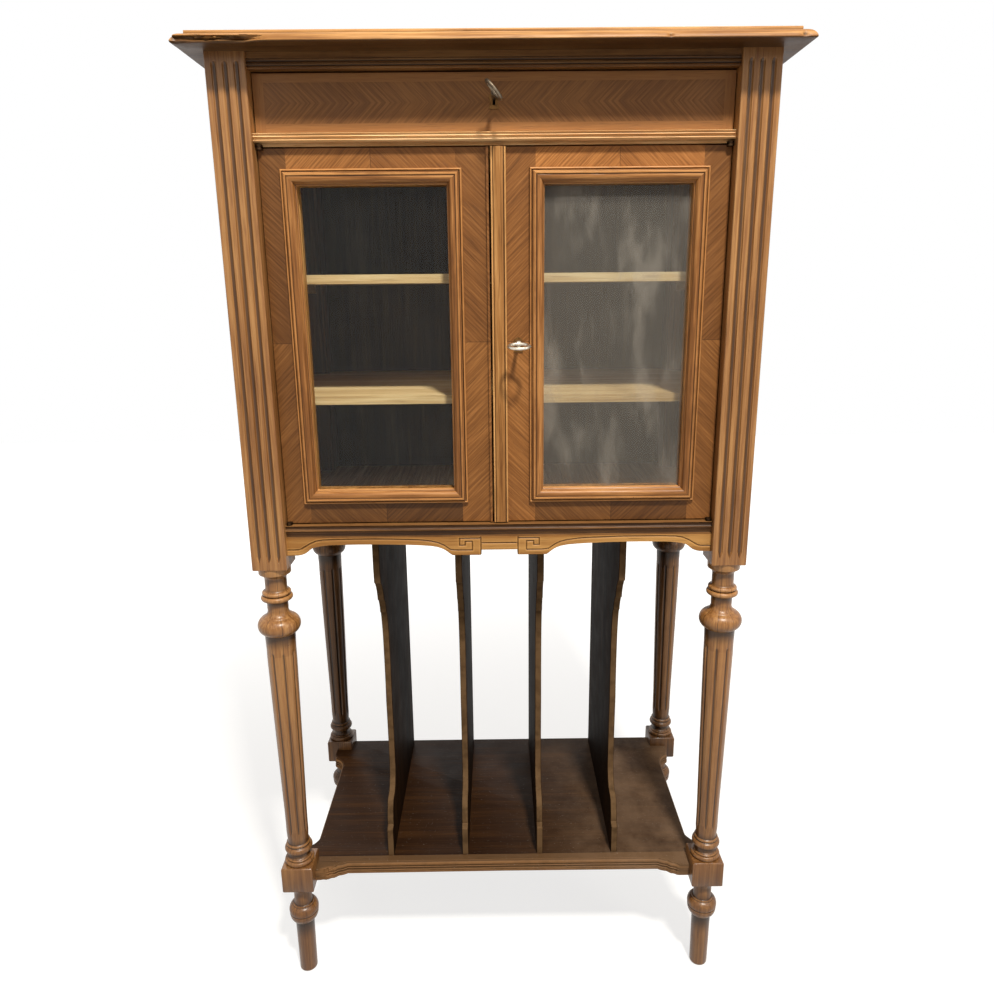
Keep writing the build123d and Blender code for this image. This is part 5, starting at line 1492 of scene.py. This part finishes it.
@dataclass
class Boards:
    """The sides, the back and the shelves behind the glass."""

    side_fibre: float = 170.0

    def build(self, nodes: dict[str, bpy.types.Object]) -> None:
        """Dresses the boards.

        Args:
            nodes: the CAD nodes by name.
        """
        panels = Timber("walnut side panels", DARK, MIDDLE, LIGHT, Axis.Z, fine=self.side_fibre, wear_and_highlight=0.3,
                        shift=2.0)
        dress(nodes, panels.make(), "side_panel_left", "side_panel_right")
        side_aprons = Timber("walnut side aprons", OLD_DARK, OLD_MIDDLE, OLD_LIGHT, Axis.Y, wear_and_highlight=0.3)
        dress(nodes, side_aprons.make(), "side_apron_left", "side_apron_right")
        pale = Board("shelf boards", linear(172, 138, 92), linear(206, 176, 130), linear(226, 204, 164),
                     Axis.X, gloss=0.62, wear_and_highlight=0.2, dust_and_sheen=0.05)
        dress(nodes, pale.make(), "shelf_lower", "shelf_upper", "shelf_cleats")
        back = Board("back boards", linear(44, 32, 16), linear(62, 47, 26), linear(82, 65, 38), Axis.Z,
                     gloss=0.62, wear_and_highlight=0.1, dust_and_sheen=0.15)
        dress(nodes, back.make(), "back_panel", "back_rails")


@dataclass
class Fittings:
    """Glass, glazing beads, keys, locks, bolts and hinges."""

    haze_left: float = 0.012
    # painted reflection: the right pane's thicker grey film stands for the room reflected in it, as well as
    # dust
    haze_and_reflection_right: float = 0.22

    def build(self, nodes: dict[str, bpy.types.Object]) -> None:
        """Dresses the fittings.

        Args:
            nodes: the CAD nodes by name.
        """
        beads = Timber("glazing beads", DARK, MIDDLE, LIGHT, Axis.Z, wear_and_highlight=0.3, gloss=0.5)
        dress(nodes, beads.make(), "left_door_glazing_beads", "right_door_glazing_beads")
        dress(nodes, Pane("bevelled glass left", self.haze_left).make(), "left_door_glass")
        dress(nodes, Pane("bevelled glass right", self.haze_and_reflection_right).make(), "right_door_glass")
        nickel = Metal("worn nickel", linear(214, 206, 190), linear(120, 104, 78), 0.22, 0.45)
        dress(nodes, nickel.make(), "right_door_key")
        steel = Metal("dark steel", linear(120, 108, 92), linear(52, 40, 30), 0.34, 0.6)
        dress(nodes, steel.make(), "drawer_key", "drawer_lock_bolt", "right_door_lock_bolt",
              "left_door_upper_bolt", "left_door_lower_bolt", "drawer_lock_case", "right_door_lock_case",
              "left_door_lock_keeper", "left_door_bolt_guides")
        bronze = Metal("dark bronze", linear(118, 84, 48), linear(48, 32, 20), 0.38, 0.7)
        dress(nodes, bronze.make(), "drawer_escutcheon", "right_door_escutcheon")
        iron = Metal("browned iron", linear(70, 52, 36), linear(32, 22, 14), 0.45, 0.8)
        dress(nodes, iron.make(), "case_pivots", "left_door_pivot_plates", "right_door_pivot_plates")


# Studio


@dataclass(frozen=True)
class Lamp:
    """One square area lamp."""

    name: str
    place: Point
    aim: Point
    size: float
    power: float
    colour: Colour = (1.0, 0.97, 0.93)

    def build(self) -> None:
        """Makes the lamp and turns it to what it lights."""
        data = bpy.data.lights.new(self.name, "AREA")
        data.shape = "SQUARE"
        data.size, data.energy, data.color = self.size, self.power, self.colour
        made = bpy.data.objects.new(self.name, data)
        made.location = self.place
        made.rotation_euler = (Vector(self.aim) - Vector(self.place)).to_track_quat("-Z", "Y").to_euler()
        bpy.context.scene.collection.objects.link(made)


@dataclass
class Studio:
    """Camera, lamps, floor and backdrop."""

    lens: float = 27.80
    place: tuple[float, float, float] = (-0.0017, -1.20914, 1.09559)
    pitch: float = 14.312
    yaw: float = -0.378
    roll: float = -0.533
    shift: tuple[float, float] = (-0.0055, -0.0146)
    floor_half: float = 4000.0
    floor_back: float = 600.0
    floor_drop: float = 1.0
    lamps: tuple[Lamp, ...] = (
        Lamp("key", (0.6, -2.1, 3.95), (0.0, 0.0, 0.95), 0.32, 190.0, (1.0, 0.95, 0.87)),
        Lamp("fill", (-1.6, -2.6, 2.3), (0.0, 0.0, 0.8), 1.4, 6.0),
        Lamp("right", (2.4, -1.8, 2.2), (0.2, 0.0, 0.7), 0.9, 13.0),
        Lamp("behind", (-0.9, 3.4, 2.6), (0.0, 0.0, 0.8), 1.8, 34.0),
    )

    def camera(self) -> None:
        """The photograph's view: forward is (-sin y cos p, cos y cos p, -sin p), rolled about itself."""
        p, y, r = (math.radians(v) for v in (self.pitch, self.yaw, self.roll))
        ahead = Vector((-math.sin(y) * math.cos(p), math.cos(y) * math.cos(p), -math.sin(p)))
        right = Vector((math.cos(y), math.sin(y), 0.0))
        down = ahead.cross(right)
        across = right * math.cos(r) - down * math.sin(r)
        under = right * math.sin(r) + down * math.cos(r)
        data = bpy.data.cameras.new("camera")
        data.lens = self.lens
        data.sensor_width = 36.0
        data.shift_x, data.shift_y = self.shift
        data.clip_start, data.clip_end = 0.05, 60.0
        made = bpy.data.objects.new("camera", data)
        turn = Matrix((across, -under, -ahead)).transposed()
        made.matrix_world = Matrix.Translation(self.place) @ turn.to_4x4()
        bpy.context.scene.collection.objects.link(made)
        bpy.context.scene.camera = made

    def white(self, name: str) -> bpy.types.Material:
        """A pale surface that the camera sees as white, also in glass and metal, and that takes shadow.

        Args:
            name: the material's name.

        Returns:
            The material.
        """
        nodes = Nodes(name)
        nodes.shader.inputs["Base Color"].default_value = (0.34, 0.34, 0.335, 1)
        coord = nodes.coord()
        mottle = nodes.noise(coord, 3.0, 2.0)
        rough = nodes.math("ADD", nodes.math("MULTIPLY", mottle, 0.08), 0.85)
        nodes.feed(nodes.shader.inputs["Roughness"], rough)
        far = nodes.step(nodes.add("VectorMath", {0: coord}, operation="LENGTH").outputs["Value"], 0.5, 2.2)
        level = nodes.math("ADD", nodes.math("MULTIPLY", far, 0.26), 0.72)
        nodes.shader.inputs["Emission Color"].default_value = (1, 1, 1, 1)
        nodes.feed(nodes.shader.inputs["Emission Strength"], nodes.math("MULTIPLY", nodes.seen(), level))
        return nodes.material

    def floor(self) -> None:
        """The floor: a flat grid, a little below the feet."""
        u = np.linspace(-self.floor_half, self.floor_half, 9)
        x, d = np.meshgrid(u, u + self.floor_back)
        shell = Shell()
        shell.grid(np.stack((x, d, x * 0 - self.floor_drop), -1))
        mesh = shell.mesh("floor")
        mesh.materials.append(self.white("pale floor"))
        made = bpy.data.objects.new("floor", mesh)
        bpy.context.scene.collection.objects.link(made)

    def sky(self) -> None:
        """A white world to look at, that lights the cabinet more dimly and more warmly."""
        world = bpy.data.worlds.new("room")
        bpy.context.scene.world = world
        world.use_nodes = True
        tree = Tree(world.node_tree)
        seen = tree.seen()
        back = world.node_tree.nodes["Background"]
        tree.feed(back.inputs["Strength"], tree.add("MapRange", {0: seen, 3: 0.30, 4: 1.0}).outputs[0])
        tree.feed(back.inputs["Color"], tree.mix(seen, (1.0, 0.86, 0.70), (1.0, 1.0, 1.0)))

    def build(self) -> None:
        """Sets up the room."""
        bpy.context.scene.view_settings.view_transform = "Standard"
        self.camera()
        for lamp in self.lamps:
            lamp.build()
        self.floor()
        self.sky()


def main() -> None:
    """Builds the cabinet in order, then the room."""
    logging.basicConfig(level=logging.INFO, format="%(name)s %(message)s")
    nodes = frame["nodes"]
    posts, turned = POSTS.make(), TURNED.make()
    for side, hand in ((-1, "left"), (1, "right")):
        Leg(f"leg_front_{hand}", side, True).build(posts)
        Leg(f"leg_back_{hand}", side, False).build(turned)
    case = Case()
    case.top_board(TOP_WOOD.make())
    case.rails(SHADED_WOOD.make(), WORN_AND_LIT_EDGE.make(), nodes)
    case.apron(CARVED.make())
    stand = Stand()
    stand.shelf(MUSIC_SHELF.make())
    stand.dividers(DIVIDERS.make())
    moulding, crossing = MOULDING.make(), MOULDING_LYING.make()
    for side in (-1, 1):
        door = Door(side)
        door.moulding(moulding, crossing)
        door.veneers(nodes)
        if side > 0:
            door.astragal(UPRIGHT.make())
    Drawer().build(nodes)
    Boards().build(nodes)
    Fittings().build(nodes)
    Studio().build()


if __name__ == "__main__":
    main()
